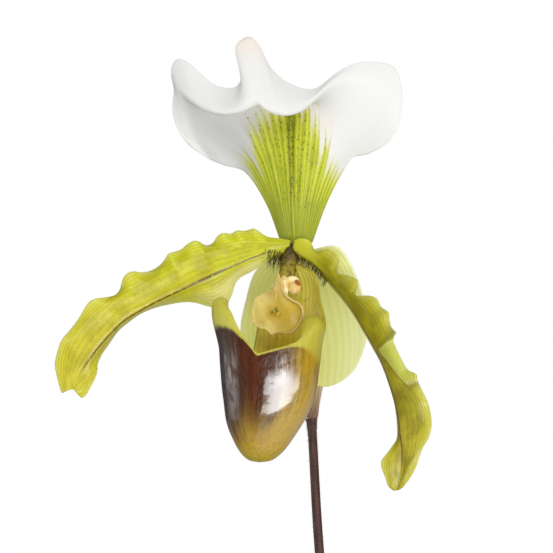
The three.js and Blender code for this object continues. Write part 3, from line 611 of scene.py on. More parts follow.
def pouch_lining_finish():
    """Bright yellow inside, darker round the back, with red-brown dots and faint veins."""
    finish = Finish("pouch_lining", roughness=0.34, Coat_Weight=0.2, Coat_Roughness=0.2)
    u, v = finish.uv()
    finish.ground(v.rise(0.45, 0.8), "#f4dc3c", "#f6ec68")
    finish.over(finish.specks(70, 40, (0.36, 0.18), (0.6, 0.7)) * v.rise(0.98, 0.7) * 0.4, "#8a4a1c")
    vein = 1.0 - (u + finish.noise(5, 4, detail=2.0) * 0.02).lines(48.0, 1.3)
    finish.over(vein.rise(0.5, 1.0) * 0.2, "#a3a42a")
    behind = (u - 0.5).size().rise(0.28, 0.34) * v.rise(0.79, 0.85)
    finish.over(behind * 0.8, "#9a8a24")
    return finish.done(vein, 0.08, through=0.08)


def shield_finish():
    """Waxy gold shield, cream to its left and along its thin rim, with a small green mark on its knob."""
    finish = Finish(
        "staminodium", roughness=0.25, Specular_IOR_Level=0.35, Coat_Weight=0.35, Coat_Roughness=0.08
    )
    _, v = finish.uv()
    x, z = finish.spot()
    tone = finish.noise(500, 500, 500)
    finish.ground(x.rise(-0.019, -0.011), "#f6e692", "#dcc04a")
    finish.over(v.rise(0.75, 0.1) * 0.8, "#dcb51c")
    finish.over(z.rise(0.3185, 0.3215) * 0.5, "#d6b85e")
    finish.over(tone.rise(0.45, 0.7) * 0.3, "#c9a030")
    mark = finish.noise(1500, 1500, 1500, detail=2.0)
    finish.over(v.rise(0.26, 0.12) * mark.rise(0.42, 0.52) * 0.9, "#6a7212")
    finish.over(v.rise(0.94, 0.98) * 0.6, "#f6e3b0")
    return finish.done(tone, 0.2, through=0.3)


def column_finish():
    """Olive, dark and mottled at its root."""
    finish = Finish("column", roughness=0.5)
    _, v = finish.uv()
    blotch = finish.noise(6, 9)
    finish.ground(v.rise(0.1, 0.7), "#4a3c0c", "#a08f1e")
    finish.over(blotch.rise(0.45, 0.65) * 0.7, "#4a3018")
    return finish.done(blotch, 0.15)


def anther_finish():
    """Cream with tan patches."""
    finish = Finish("anther", roughness=0.4, Subsurface_Weight=0.15, Subsurface_Scale=0.001)
    tone = finish.noise(420, 420, 420)
    finish.ground(tone.rise(0.35, 0.65), "#f8e8b0", "#d6b468")
    return finish.done(tone, 0.1)


def pollen_finish():
    """Orange brown."""
    return Finish("pollen", "#a4560c", roughness=0.5).material


def ovary_finish():
    """Buff with red brown between the ribs, darker at its foot, and finely dotted."""
    finish = Finish("ovary", roughness=0.6)
    u, v = finish.uv()
    groove = u.lines(6.0, 1.3)
    finish.ground(groove * 0.6, "#cdbd92", "#93594a")
    finish.over(v.rise(0.24, 0.02) * 0.8, "#63382b")
    finish.over(finish.specks(26, 90, (0.4, 0.2), (0.4, 0.5)) * 0.6, "#4d241d")
    return finish.done(finish.noise(40, 200), 0.12)


def bract_finish():
    """Grey green with darker veins and red-brown dots."""
    finish = Finish("bract", roughness=0.55)
    u, _ = finish.uv()
    vein = 1.0 - u.lines(9.0, 1.2)
    finish.ground(vein.rise(0.4, 1.0) * 0.6, "#a9ad52", "#7d8a2e")
    finish.over(finish.specks(22, 40, (0.38, 0.2), (0.45, 0.55)) * 0.7, "#5c2c24")
    return finish.done(vein, 0.1, through=0.2)


def stem_finish():
    """Dark purple brown, greener low down."""
    finish = Finish("stem", roughness=0.6)
    _, v = finish.uv()
    streak = finish.noise(12, 16)
    finish.ground(streak.rise(0.35, 0.75), "#321810", "#5a3228")
    finish.over(v.rise(0.42, 0.02) * 0.6, "#57502c")
    return finish.done(streak, 0.12)


def hair_finish(name, color):
    """One plain colour."""
    return Finish(name, color, roughness=0.55).material


def leaf_finish():
    """Leathery strap leaf: mid green, paler along the edges and at the foot, darker along the keel, with a
    faint mottle.
    """
    finish = Finish("leaf", roughness=0.34, Coat_Weight=0.15, Coat_Roughness=0.2)
    u, v = finish.uv()
    mottle = finish.noise(7, 34).rise(0.42, 0.62)
    vein = 1.0 - u.lines(11.0, 1.2)
    finish.ground(mottle * 0.5, "#3f6b26", "#547f35")
    finish.over(vein.rise(0.5, 1.0) * 0.25, "#2f5419")
    aside = (u - 0.5).size()
    finish.over(aside.rise(0.035, 0.0) * 0.5, "#2c4f1a")
    finish.over(aside.rise(0.47, 0.5) * 0.6, "#8ba650")
    finish.over(v.rise(0.16, 0.0) * 0.7, "#a3ad63")
    finish.over(finish.specks(50, 260, (0.4, 0.22), (0.45, 0.55)) * v.rise(0.16, 0.03) * 0.75, "#5a2d2c")
    finish.over(v.rise(0.975, 1.0) * 0.6, "#9a8a45")
    finish.feed(finish.body.inputs["Roughness"], 0.3 + mottle * 0.12)
    return finish.done(vein * 0.5 + finish.noise(30, 260) * 0.4, 0.15, through=0.14)


def crown_finish():
    """Fibrous, olive and brown."""
    finish = Finish("crown", roughness=0.8)
    tone = finish.noise(260, 260, 90, detail=4.0)
    finish.ground(tone.rise(0.3, 0.7), "#6d7040", "#4a3822")
    return finish.done(tone, 0.6)


def bark_finish():
    """Red-brown wood with a fine dark grain."""
    finish = Finish("bark", roughness=0.88)
    tone = finish.noise(90, 90, 90, detail=5.0, rough=0.6)
    grain = finish.noise(420, 420, 1400)
    finish.ground(tone.rise(0.35, 0.68), "#3a2415", "#83593a")
    finish.over(grain.rise(0.5, 0.75) * 0.5, "#28170d")
    return finish.done(tone * 0.5 + grain * 0.6, 0.7)


def clay_finish():
    """Fired red clay with faint turning lines and a little lime where water has dried."""
    finish = Finish("clay", roughness=0.8)
    _, z = finish.spot()
    cloud = finish.noise(28, 28, 22, detail=4.0, rough=0.6)
    grit = finish.noise(1500, 1500, 1500, detail=2.0)
    turning = finish.noise(4, 4, 900, detail=2.0)
    finish.ground(cloud.rise(0.3, 0.72), "#a9583a", "#c47a55")
    lime = cloud.rise(0.52, 0.74) * z.rise(0.005, 0.04) * z.rise(0.085, 0.05) * 0.45
    finish.over(lime, "#d9b9a2")
    finish.over(z.rise(0.012, 0.0) * 0.35, "#8a4a33")
    finish.over(grit.rise(0.6, 0.8) * 0.3, "#7d3f29")
    return finish.done(grit * 0.35 + turning * 0.5, 0.25)


# The flower's outlines as the photo shows them, in its pixels, right and down from its corner. A depth is in
# millimetres, from the flower's heart away from the viewer. The dorsal sepal is set out in rows from root to
# tip: (share of the width, right, down, depth)
DORSAL_ROWS = [
    [
        (0, 281, 241, 3), (0.25, 287, 245, 2), (0.5, 294.5, 246.5, 1.8), (0.75, 303, 246, 2),
        (1, 312, 243, 2.8),
    ],
    [
        (0, 266.5, 203, 4.8), (0.2, 274, 199, 2.2), (0.35, 282, 198.5, 1), (0.5, 292.5, 198, 0.8),
        (0.65, 303, 198.5, 1.1), (0.8, 314, 200, 2.2), (1, 327, 202, 4),
    ],
    [
        (0, 244.5, 171.5, 6.6), (0.1, 247, 160, 4.6), (0.2, 255, 152, 2.4), (0.35, 272.5, 149, 1),
        (0.5, 291, 148, 0.7), (0.65, 308, 149, 1), (0.8, 327, 153, 2.2), (0.9, 337, 160, 3.4),
        (1, 344, 169, 5.2),
    ],
    [
        (0, 224.4, 165.5, 5.6), (0.08, 218, 145, 4.4), (0.16, 222, 122, 2.2), (0.24, 234, 109, 1.4),
        (0.35, 256, 101, 1.4), (0.5, 289, 99, 1.5), (0.63, 308, 101.5, 1.3), (0.76, 325, 108, 1.2),
        (0.85, 343, 121, 1.4), (0.93, 353, 138, 2.6), (1, 352.5, 157.7, 4.6),
    ],
    [
        (0, 208, 158.5, 3.6), (0.06, 193, 138, 2.2), (0.1, 187, 120, 0.8), (0.14, 182.5, 104, -0.8),
        (0.18, 182, 94.5, -2.4), (0.22, 192, 101.5, -4.4), (0.26, 206, 109.5, -6), (0.31, 224.4, 113.3, -7),
        (0.36, 240, 110.8, -7.6), (0.4, 250, 105.4, -7.8), (0.44, 257, 103, -7.8), (0.48, 265, 108.5, -7.6),
        (0.53, 275, 113, -7.2), (0.58, 287, 114, -6.8), (0.63, 299, 110.3, -6), (0.68, 310, 102.5, -5),
        (0.73, 320.5, 94, -3.8), (0.78, 334, 85, -2.6), (0.84, 354, 82, -1), (0.9, 380, 89, 0.3),
        (0.95, 388, 110, 1), (0.975, 384, 132, 1.9), (1, 366, 155, 3.6),
    ],
    [
        (0, 192, 147.5, 2.4), (0.03, 183, 138, 2.2), (0.06, 176.8, 128, 2), (0.09, 172.9, 114, 1.6),
        (0.12, 172.9, 101, 1), (0.15, 174.5, 88, 0.2), (0.175, 172, 76, -0.8), (0.19, 171.6, 66, -1.6),
        (0.205, 176.8, 58.5, -2.4), (0.225, 185.8, 61, -3), (0.25, 198.7, 71.4, -3.6),
        (0.28, 211.5, 83, -4.2), (0.305, 224.4, 88, -4.6), (0.325, 234.7, 87.6, -5),
        (0.345, 241.2, 81.7, -5.2), (0.365, 242.5, 74, -5.4), (0.385, 240, 63.7, -5.6),
        (0.41, 236, 52, -5.6), (0.43, 235.5, 47, -5.5),
        (0.46, 240, 40.5, -5.3), (0.5, 249, 36.6, -5), (0.53, 255.4, 40.5, -4.9), (0.555, 260.5, 48.2, -4.9),
        (0.58, 265.7, 61, -4.9), (0.605, 273.4, 71.4, -4.7), (0.63, 283.7, 80.4, -4.3),
        (0.655, 296.6, 86.9, -3.8), (0.675, 306.9, 89.4, -3.3), (0.7, 317.2, 88.1, -2.8),
        (0.72, 325, 83, -2.4), (0.745, 335.3, 74, -1.8), (0.775, 348.1, 66.2, -1), (0.81, 361, 62.4, -0.3),
        (0.84, 373.9, 61.9, 0.2), (0.87, 386.8, 63.7, 0.6), (0.89, 395.8, 68.8, 0.8), (0.905, 399.5, 76, 0.9),
        (0.925, 401.5, 88, 1.1), (0.945, 402, 102, 1.3), (0.96, 400.5, 117, 1.6), (0.975, 397, 130, 1.9),
        (0.99, 390, 140.5, 2.3), (1, 380, 148.3, 2.6),
    ],
]
# Lines in the lower sepal that run from root to tip, from its left edge to its right
LOWER_SEPAL_VEINS = [
    [[-2.6, 3.2, -2.4], [-8.2, 7.4, -6], [-10.5, 10.2, -12.6], [-11.7, 11.6, -19.6], [-10.1, 12, -25.6]],
    [[-1.6, 3.4, -2.9], [-5.2, 7, -8], [-7.2, 10.4, -15.7], [-7, 12.4, -23.2], [-4.4, 12.9, -29.9]],
    [[0.2, 3.2, -3.4], [0.6, 6, -9.2], [1.5, 9.2, -17.1], [2.5, 12, -25.2], [3.1, 13, -31.3]],
    [[1.9, 2.6, -3.2], [5.4, 3.6, -8], [7.5, 6.6, -15.7], [8.7, 9.8, -24.6], [8.2, 12, -31.9]],
    [[3, 1.8, -2.6], [8.8, 0.6, -4.8], [12.4, 2.4, -11.6], [14, 5.8, -20.5], [13.6, 8.6, -28.2]],
    [[3.4, 1.2, -1.6], [9.8, -0.8, -0.8], [13.8, 0.2, -7], [16, 2, -14.4], [16.4, 5, -21.6]],
]
# Lines along each petal, (right, down) or (right, down, lean away from the viewer), and the depths at even
# steps along them
LEFT_PETAL = [
    # lower edge
    ([
        (289, 253), (274, 259.5), (264, 263.8), (257.5, 267.7), (251, 271.5), (240.8, 276.7), (234.3, 284.4),
        (231.5, 294.7), (226, 304), (217, 307.5), (207.3, 305.8), (197, 302.6), (186.7, 301.3),
        (173.8, 302.6), (155.8, 306.5), (140.3, 312.7), (127.4, 321.8), (117.1, 330.8), (108.1, 343.7),
        (100.4, 355.2),
        (96.8, 364.3), (96.5, 372), (93.9, 379.7), (90, 387.4), (84.9, 396), (81.5, 398.3),
    ], [-1.2, -0.6, 0.2, -1.4, -2.6, -5, -8.8, -11.6]),
    # midvein
    ([
        (290, 247), (271.7, 250.9), (251, 258.6), (235.6, 265.1), (212.4, 275.4), (184, 288.3), (161, 299),
        (140.3, 309.8), (122.3, 321.5), (109.4, 334), (97, 348.3), (86.2, 364.3), (78.5, 377), (73, 389.5),
    ], [-1.8, -1.9, -3, -5, -7.8, -9.8, -11.4, -12.6]),
    # inner line
    ([
        (290, 243.5), (276, 243), (260, 243), (240, 243.5), (218, 248.5), (200, 253.5), (180, 262),
        (160, 274), (140, 283.5), (122, 294.5), (105, 306.5), (90, 320.5), (76, 338.5), (68.5, 355),
        (66, 375), (67, 391),
    ], [-1.9, -1.7, -2.4, -4.3, -7.2, -9.6, -11.6, -12.9]),
    # waved upper edge
    ([
        (291, 241.5, 0), (284, 239.8, 0), (276.8, 238.5, 0), (266.5, 237.2, 0.3), (260, 232.9, -0.4),
        (255, 228.5, -1.2), (248.5, 229.8, -0.6), (242, 231.2, 0.2), (236.9, 230.3, -0.8),
        (230.5, 234.2, 0.2), (222.7, 232.9, -1.2), (218.1, 235.5, -0.8), (213.7, 243.2, 0.9),
        (209.9, 245.8, 1.2),
        (203.4, 245.8, 0.9), (199.6, 242.7, -0.4), (194.4, 240.6, -1.4), (188, 243.7, -0.6),
        (181.5, 249.6, 0.5), (173.8, 252.2, 0), (168.6, 253.5, -0.9), (166, 258.6, 0.6), (159.6, 266.4, 1.3),
        (150.6, 271.5, 1), (140.3, 272.8, -0.2), (131.3, 271.5, -1.5), (124.9, 275.4, -1.3),
        (122.3, 281.8, 0.2), (121, 289.6, 1.3), (115.8, 296, 1.2), (106.8, 298, 0.1), (96.5, 298.6, -1.1),
        (90, 301.1, -1.2), (84.9, 307.6, -0.6), (78.5, 319.2, 0.2), (69.5, 330.8, 0), (61.7, 339.8, -0.3),
        (57.4, 351.4, 0), (54.8, 364.3, 0), (56.6, 374.6, 0), (59.2, 384.9, 0), (61.9, 393.9, 0),
    ], [-1.4, -0.4, -0.8, -2.8, -5.6, -8.4, -10.8, -12.2]),
]
RIGHT_PETAL = [
    # lower edge
    ([
        (292, 252), (304, 260), (317.8, 267.5), (323.6, 276), (333.2, 287), (342.8, 298.5), (352.5, 311.5),
        (362, 327), (371.7, 344), (381.4, 361.5), (389, 381), (395.8, 404), (398.4, 424.7), (397.8, 439.2),
        (393, 446.5), (387.2, 453.6), (382, 460), (381.4, 467), (385.2, 476.7), (389, 486.4), (394.9, 490.6),
    ], [-1.2, -1.8, -5.2, -9.2, -12.4, -14.6, -16.8, -19.6, -20]),
    # midvein
    ([
        (293, 246), (308, 257), (320, 268.5), (333, 283), (346, 298.8), (357, 314.8), (367, 332.3),
        (377, 350.3), (386, 369.8), (393, 390.8), (398.3, 412), (401, 435), (402.3, 458), (400, 480),
        (397.5, 490.4),
    ], [-1.9, -4.6, -8.8, -13, -16.4, -18.6, -19.8, -20.2, -20.2]),
    # inner line
    ([
        (294, 243), (306, 247), (316, 256), (327, 266.5), (339, 280), (350, 292), (361, 304), (371, 318),
        (380, 334), (388, 350), (397, 368), (408, 388), (417, 405), (421, 425), (417, 445), (410, 463),
        (404, 478), (400, 489.3),
    ], [-1.9, -5.2, -10.6, -15.6, -19.4, -21.2, -21.6, -21.2, -20.6]),
    # waved upper edge
    ([
        (293, 241, 0), (299, 239, 0), (304.3, 238.7, 0), (310, 241.6, 0.6), (313.5, 250.5, 1.6),
        (319.7, 252.6, 0.6), (326.4, 248.8, -1.2), (333.2, 251.2, -1.4), (339, 257.5, -0.8),
        (337, 266.6, 2.2), (338, 274, 1.6), (346.7, 275.3, -0.6), (353.4, 277.2, -1.4), (358.5, 281.5, -1.2),
        (356, 288, 1.2),
        (353.4, 293, 1.8), (357.3, 296.3, 0.6), (366, 295.3, -0.8), (372.7, 296.3, -1.4), (377.5, 299.4, -1),
        (381.4, 307, 0), (388.6, 311.9, -1), (389.5, 318.7, 0.4), (391, 326.4, 0.6), (395.8, 333, -1.2),
        (393, 339, 0.9), (396.8, 349.5, 1.2), (402.6, 361, 1.4), (408.4, 370.2, 0.9), (416, 373.6, -0.6),
        (417, 379.8, -0.8), (421.9, 390, 0), (427.7, 401.6, 0.3), (431, 415, 0), (431.5, 426.6, -0.4),
        (428.6, 438.2, -0.4), (422.8, 447.8, 0), (419.9, 455.5, 0), (416, 467, 0), (410.3, 477.7, 0),
        (402.6, 487.3, 0),
    ], [-1.6, -5.4, -11, -16.8, -20.8, -22.4, -22, -21.4, -20.6]),
]
# The pouch's rim: degrees round it, the height where its roll begins, the roll's radius and its turn
POUCH_RIM = [
    (-180, -3.8, 0.8, 20), (-164, -4.6, 0.8, 20), (-152, -6.8, 0.6, 20), (-146, -11, 0.5, 20),
    (-142, -18, 0.5, 20), (-139, -23, 0.5, 25), (-132, -25.2, 0.6, 30), (-118, -23.4, 0.8, 40),
    (-104, -18.8, 1.3, 80), (-90, -14.9, 1.8, 120), (-80, -14, 2, 145), (-70, -13.9, 2, 145),
    (-56, -14.5, 1.7, 130), (-44, -15.4, 1.5, 115), (-34, -16.4, 1.3, 105), (-26, -17.8, 1.1, 90),
    (-16, -19.8, 0.9, 75), (-8, -21.1, 0.8, 55), (0, -22.7, 0.7, 45), (7, -24.3, 0.7, 40), (14, -24, 0.7, 40),
    (25, -23.4, 0.7, 35), (43, -22.5, 0.8, 35), (56, -21.9, 1.2, 50), (68, -20.8, 2, 100),
    (80, -18.8, 2.5, 140), (92, -18.4, 2.5, 140), (104, -18.6, 1.5, 90), (114, -16.8, 1, 40),
    (124, -12, 0.8, 25), (134, -8, 0.8, 20), (146, -6, 0.8, 20), (164, -4.6, 0.8, 20), (180, -3.8, 0.8, 20),
]
# The share of the wall's height above which it rolls, the outline of the pouch from its toe up as (half
# width, height), and how far its middle stands out in front at each height
ROLL_FROM = 0.8
POUCH_SIDE = [
    (0, -47.6), (2.6, -47.1), (4.7, -45.4), (6.7, -42.5), (8.8, -38.4), (10.3, -33), (11, -27.7),
    (11.4, -22.6), (11.5, -17), (11.5, -11), (11, -3),
]
POUCH_FRONTS = [(-47.6, 16.6), (-43.3, 15.4), (-39, 14.4), (-33, 13.1), (-25, 12.5), (-14, 12), (-3, 11.6)]
# The stem and the ovary that goes on from it, from the foot up, with their radii at shares of their length
STEM_TOP = (4.2, 19, -39.4)
STEM_FOOT = np.array([*MAIN_CROWN[:2], LEAF_FOOT]) - FLOWER
STEM_END = np.array(STEM_TOP) - (0, 0, SEAT_GAP)
STEM_LINE = [
    STEM_FOOT, STEM_FOOT + (-0.3, -0.1, 40), STEM_FOOT + (-2.6, -1.4, 110), STEM_END + (1.7, 0.4, -28),
    STEM_END + (0.4, 0.1, -6), STEM_END + (0, 0, 0.5),
]
STEM_RADIUS = [(0, 1.45), (0.1, 1.3), (0.85, 1.0), (0.97, 1.2), (0.99, 1.3), (1, 1.35)]
OVARY_LINE = [STEM_TOP, (5.7, 19, -33), (6.5, 16, -21), (4.4, 9.5, -9.5), (1.6, 4.2, -2.8), (0.4, 1.6, -0.9)]
OVARY_RADIUS = [(0, 1.25), (0.05, 1.2), (0.14, 0.85), (0.35, 1.15), (0.6, 1.6), (0.86, 1.7), (1, 2)]
COLUMN_LINE = [
    facing(*p) for p in ((0, 1.2, -0.4), (0, 1.7, -3), (0, 2.6, -5.6), (0, 4.6, -8.4), (0.1, 7.7, -11.2))
]
COLUMN_RADIUS = [(0, 0.7), (0.1, 1.35), (0.28, 1.8), (0.6, 1.7), (1, 0.95)]
# The staminodium's outline from its tip round by the left, (right, up), its middle, and how far it stands out
SHIELD_OUTLINE = [
    (0.8, -6.4), (0.4, -8.2), (0.1, -9.6), (-1.1, -10.5), (-3.1, -11.1), (-4.5, -11.9), (-5.5, -13.6),
    (-5.8, -15.2), (-5.6, -17), (-4.6, -18.1), (-3.1, -18.7), (-1.5, -19), (-0.8, -19.5), (-0.1, -20.1),
    (0.8, -19.6), (2.4, -19.6), (4.3, -19.8), (5.6, -18.8), (6.6, -16.8), (6.9, -14.9), (6.1, -13.5),
    (4.6, -12.7), (3.2, -11.8), (2, -10.3), (1.4, -8.2), (0.8, -6.4),
]
SHIELD_MIDDLE = (0.4, -15.2)
SHIELD_FRONT = 9.6

# Leaves of each fan, from the innermost out: side (-1 left, 1 right), length, half width, lean at the foot
# and at the tip in degrees from upright, height of the folded sheath, the sheath's depth and half breadth at
# the foot, how far the blade twists, and how far its tip swings off to the side
MAIN_LEAVES = [
    (1, 128, 10.5, 4, 62, 34, 3.6, 3.4, 6, 9),
    (-1, 150, 12, 8, 84, 30, 3.6, 3.4, -8, -7),
    (1, 168, 13, 17, 108, 22, 6.2, 5.2, -10, 16),
    (-1, 172, 13.5, 22, 116, 20, 6.2, 5.2, 8, 14),
    (1, 166, 13, 38, 122, 11, 9, 7.2, 9, -6),
    (-1, 158, 12.5, 41, 120, 10, 9, 7.2, -7, 4),
]
YOUNG_LEAVES = [
    (-1, 76, 8, 7, 48, 18, 2.4, 2.4, 5, -5),
    (1, 92, 9, 15, 82, 15, 2.4, 2.4, -6, 6),
    (-1, 98, 9.5, 32, 108, 10, 4.6, 4, 8, -12),
    (1, 88, 9, 40, 104, 9, 4.6, 4, -8, -9),
]


def even_line(points, shares):
    """Points on a smooth line, spaced by its length."""
    dense = line_at(points, np.linspace(0, 1, 600))
    run = np.concatenate([[0], np.cumsum(np.linalg.norm(np.diff(dense, axis=0), axis=1))])
    return np.stack([np.interp(np.asarray(shares) * run[-1], run, line) for line in dense.T], axis=1)


def normals_of(places):
    """The direction that points out of a sheet at each of its places."""
    return unit(np.cross(np.gradient(places, axis=0), np.gradient(places, axis=1)))


def seen(right, down, depth):
    """Millimetres from the flower's heart for the photo's pixels, at a depth in millimetres."""
    size = PIXEL * (EYE[1] - depth) / EYE[1]
    across = EYE[0] + (right - PHOTO_MIDDLE) * size
    up = EYE[2] + (PHOTO_MIDDLE - down) * size
    return np.stack([across, depth, up], axis=-1)


def traced(shares, places, at):
    """Places along a line that passes through places at the given shares."""
    return np.stack([along(list(zip(shares, line)), at) for line in places.T], axis=1)


def beside(line, points, least=0.006):
    """How far along a dense line each of an edge's points lies. The shares only grow, from 0 to 1."""
    nearest = [np.argmin(np.linalg.norm(line - point, axis=1)) / (len(line) - 1) for point in points]
    steps = least * np.arange(len(points))
    shares = np.maximum.accumulate(np.array(nearest) - steps) + steps
    shares[0] = 0
    return shares / shares[-1]


def crowded(count, room=0.6, reach=0.12):
    """Shares from 0 to 1 that lie closer together in the middle."""
    t = np.linspace(-0.5, 0.5, count)
    return 0.5 + t * (1 - room * hump(t, 0, reach))


def dorsal_places(u, lengthwise=75):
    """The hooded sepal, with a crease along its middle and fine pleats in its foot."""
    v = np.linspace(0, 1, lengthwise)
    rows = [np.array(row, float).T for row in DORSAL_ROWS]
    rows = np.stack([traced(row[0], seen(*row[1:]), u) for row in rows])
    places = np.swapaxes(spline(rows, v), 0, 1)
    aside = u[:, None] - 0.5
    crease = 0.75 * hump(aside, 0.022, 0.012) - 0.7 * hump(aside, -0.002, 0.011)
    creased = smooth(v, 0.02, 0.1) * (1 - smooth(v, 0.42, 0.6))
    pleats = 0.16 * np.cos(2 * math.pi * 13.5 * aside) * hump(aside, 0, 0.3)
    pleated = smooth(v, 0.1, 0.25) * (1 - smooth(v, 0.4, 0.6))
    places[..., 1] += crease * creased + pleats * pleated
    return FLOWER + places


def petal_places(petal, across=33, lengthwise=171):
    """A petal through its four lines, with one more between its lower edge and its midvein."""
    v = np.linspace(0, 1, lengthwise)
    midvein = even_line(petal[1][0], np.linspace(0, 1, 800))
    rows = []
    for points, depths in petal:
        points = np.array(points, float)
        shares = beside(midvein, points[:, :2])
        depth = along(list(zip(np.linspace(0, 1, len(depths)), depths)), shares) + points[:, 2:].sum(axis=1)
        rows.append(traced(shares, seen(points[:, 0], points[:, 1], depth), v))
    lower, middle, inner, upper = rows
    between = (lower + middle) / 2 + np.array([0, -0.35, 0])
    return FLOWER + spline(np.stack([lower, between, middle, inner, upper]), np.linspace(0, 1, across))


def pouch_places(around=145, lengthwise=76):
    """The pouch: a toe, a wall that rises to a rolled rim, an ear on each side and a narrow claw behind.
    Degrees count from the front, positive to the right."""
    shares = np.linspace(0, 1, 2000)
    profile = line_at([(half, 0, up) for half, up in POUCH_SIDE], shares)
    degrees = np.linspace(-180, 180, around)
    start, roll, turn = (along([(row[0], row[n]) for row in POUCH_RIM], degrees)[:, None] for n in (1, 2, 3))
    degrees = degrees[:, None]
    angle = np.radians(degrees)
    v = np.linspace(0, 1, lengthwise)[None]
    at = np.interp(start, profile[:, 2], shares) * np.minimum(v / ROLL_FROM, 1)
    side, height = np.interp(at, shares, profile[:, 0]), np.interp(at, shares, profile[:, 2])
    claw = smooth(np.abs(degrees), 118, 160)
    ear = hump(degrees, 90, 28) + hump(degrees, -72, 34)
    low, high = np.where(degrees < 0, -17, -9), np.where(degrees < 0, -4, -2)
    narrow = 1 - claw * 0.66 * smooth(height, low, high)
    curl = np.radians(turn) * np.maximum(v - ROLL_FROM, 0) / (1 - ROLL_FROM)
    radius = side * (1 + 0.15 * ear * smooth(height, -24, -15)) - roll * (1 - np.cos(curl))
    dent = hump(degrees, 121, 13) * smooth(height, -18, -12)
    right = 0.3 - 0.5 * smooth(-height, 34, 42) - 0.9 * dent + radius * np.sin(angle) * narrow
    front = along(POUCH_FRONTS, height) + 0.88 * radius * np.cos(angle) - claw * smooth(height, -20, -9)
    return FLOWER + facing(right, front, height + roll * np.sin(curl))


def shield_places(around=145, rings=25):
    """Rings from the shield's middle out to its outline: a shallow bowl with a knob, folds and a rim."""
    outline = even_line(SHIELD_OUTLINE, np.linspace(0, 1, around))[:, None]
    v = np.linspace(0, 1, rings)[None, :, None]
    side, height = np.moveaxis(SHIELD_MIDDLE + (outline - SHIELD_MIDDLE) * v, -1, 0)
    v = v[..., 0]
    bowl = -0.014 * side * side + 0.012 * (height + 14) ** 2 + 0.1 * (-14 - height)
    rim = smooth(v, 0.86, 0.97) * (0.25 + 0.5 * smooth(side, 0.5, 3)) * smooth(-height, 8, 11)
    knob = 0.4 * hump(v, 0, 0.13)
    folds = 0.22 * np.sin(1.1 * side + 0.5 * height) * smooth(v, 0.2, 0.7)
    return FLOWER + facing(side, SHIELD_FRONT + bowl + rim + knob + folds, height)


def leaf_places(leaf, crown, across=15, lengthwise=61):
    """A strap leaf that wraps the crown at its foot, opens to a keeled blade and arches over."""
    side_of, length, half, lean, tip_lean, sheath, depth, breadth, turn, sway = leaf
    steps = 60
    leans = np.radians(lean + (tip_lean - lean) * (np.arange(steps + 1) / steps) ** 1.35)
    keel_out = depth + np.concatenate([[0], np.cumsum(np.sin(leans))]) * length / steps
    keel_up = np.concatenate([[0], np.cumsum(np.cos(leans))]) * length / steps
    v = np.linspace(0, 1, lengthwise)[None]
    at = np.minimum(v * steps, steps - 1e-6)
    out, up = (np.interp(at, np.arange(steps + 2), keel) for keel in (keel_out, keel_up))
    leaning = np.interp(at, np.arange(steps + 1), leans)
    side = np.linspace(-1, 1, across)[:, None]
    opened = smooth(v * length, sheath * 0.7, sheath * 2.4)
    wrap = math.radians(80) * side
    outline = np.minimum(1, 0.62 + 1.1 * v) * np.sqrt(np.maximum(0, 1 - smooth(v, 0.72, 1.02) ** 2))
    half_width = half * np.maximum(outline, 0.1)
    blade_rise = LEAF_KEEL * (1 - 0.55 * v) * half_width * np.abs(side) ** 1.25
    wide = breadth * np.sin(wrap) * (1 - opened) + half_width * side * opened
    rise = depth * (1 - np.cos(wrap)) * (1 - opened) + blade_rise * opened
    twist = math.radians(turn) * opened * v * 2
    turned = wide * np.cos(twist) - rise * np.sin(twist)
    lifted = wide * np.sin(twist) + rise * np.cos(twist)
    x = side_of * (out - lifted * np.cos(leaning))
    y = side_of * turned + sway * v * v
    z = up + lifted * np.sin(leaning)
    return np.stack([x + crown[0], y + crown[1], z + LEAF_FOOT], axis=-1)


def bract_places(across=17, lengthwise=33):
    """The sheath wrapped round the foot of the ovary, opening upwards."""
    v = np.linspace(0, 1, lengthwise)
    centre = even_line(OVARY_LINE, 0.012 + 0.42 * v)[None]
    u = np.linspace(0, 1, across)[:, None]
    opened = np.radians(62 - 44 * v**1.6) * (2 * u - 1) - 0.45
    radius = 1.35 - 0.1 * np.sin(math.pi * v) + 0.3 * v
    wrapped = [radius * np.sin(opened), radius * np.cos(opened), np.broadcast_to(0.8 * v, opened.shape)]
    return FLOWER + centre + np.stack(wrapped, axis=-1)


# Pieces
def placed(piece, slot, *nodes):
    """Puts a piece in the frame, in place of the nodes that it stands for."""
    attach(piece, "root")
    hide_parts(*nodes)


def facing_out(bm, centre):
    """Turns every face the same way, away from a point inside."""
    bmesh.ops.recalc_face_normals(bm, faces=bm.faces)
    centre = Vector(centre) * MM
    if sum(face.normal.dot(face.calc_center_median() - centre) * face.calc_area() for face in bm.faces) < 0:
        bmesh.ops.reverse_faces(bm, faces=bm.faces)


def bevel_edges(bm, edges, offset, segments):
    """Rounds the given edges."""
    bmesh.ops.bevel(
        bm, geom=edges, offset=offset * MM, offset_type="OFFSET", affect="EDGES", segments=segments,
        profile=0.5, material=-1, clamp_overlap=True,
    )


def soften(bm, offset, least_angle=25):
    """Rounds the edges that are sharper than least_angle."""
    limit = math.radians(least_angle)
    sharp = [e for e in bm.edges if len(e.link_faces) == 2 and e.calc_face_angle() > limit]
    bevel_edges(bm, sharp, offset, 3)


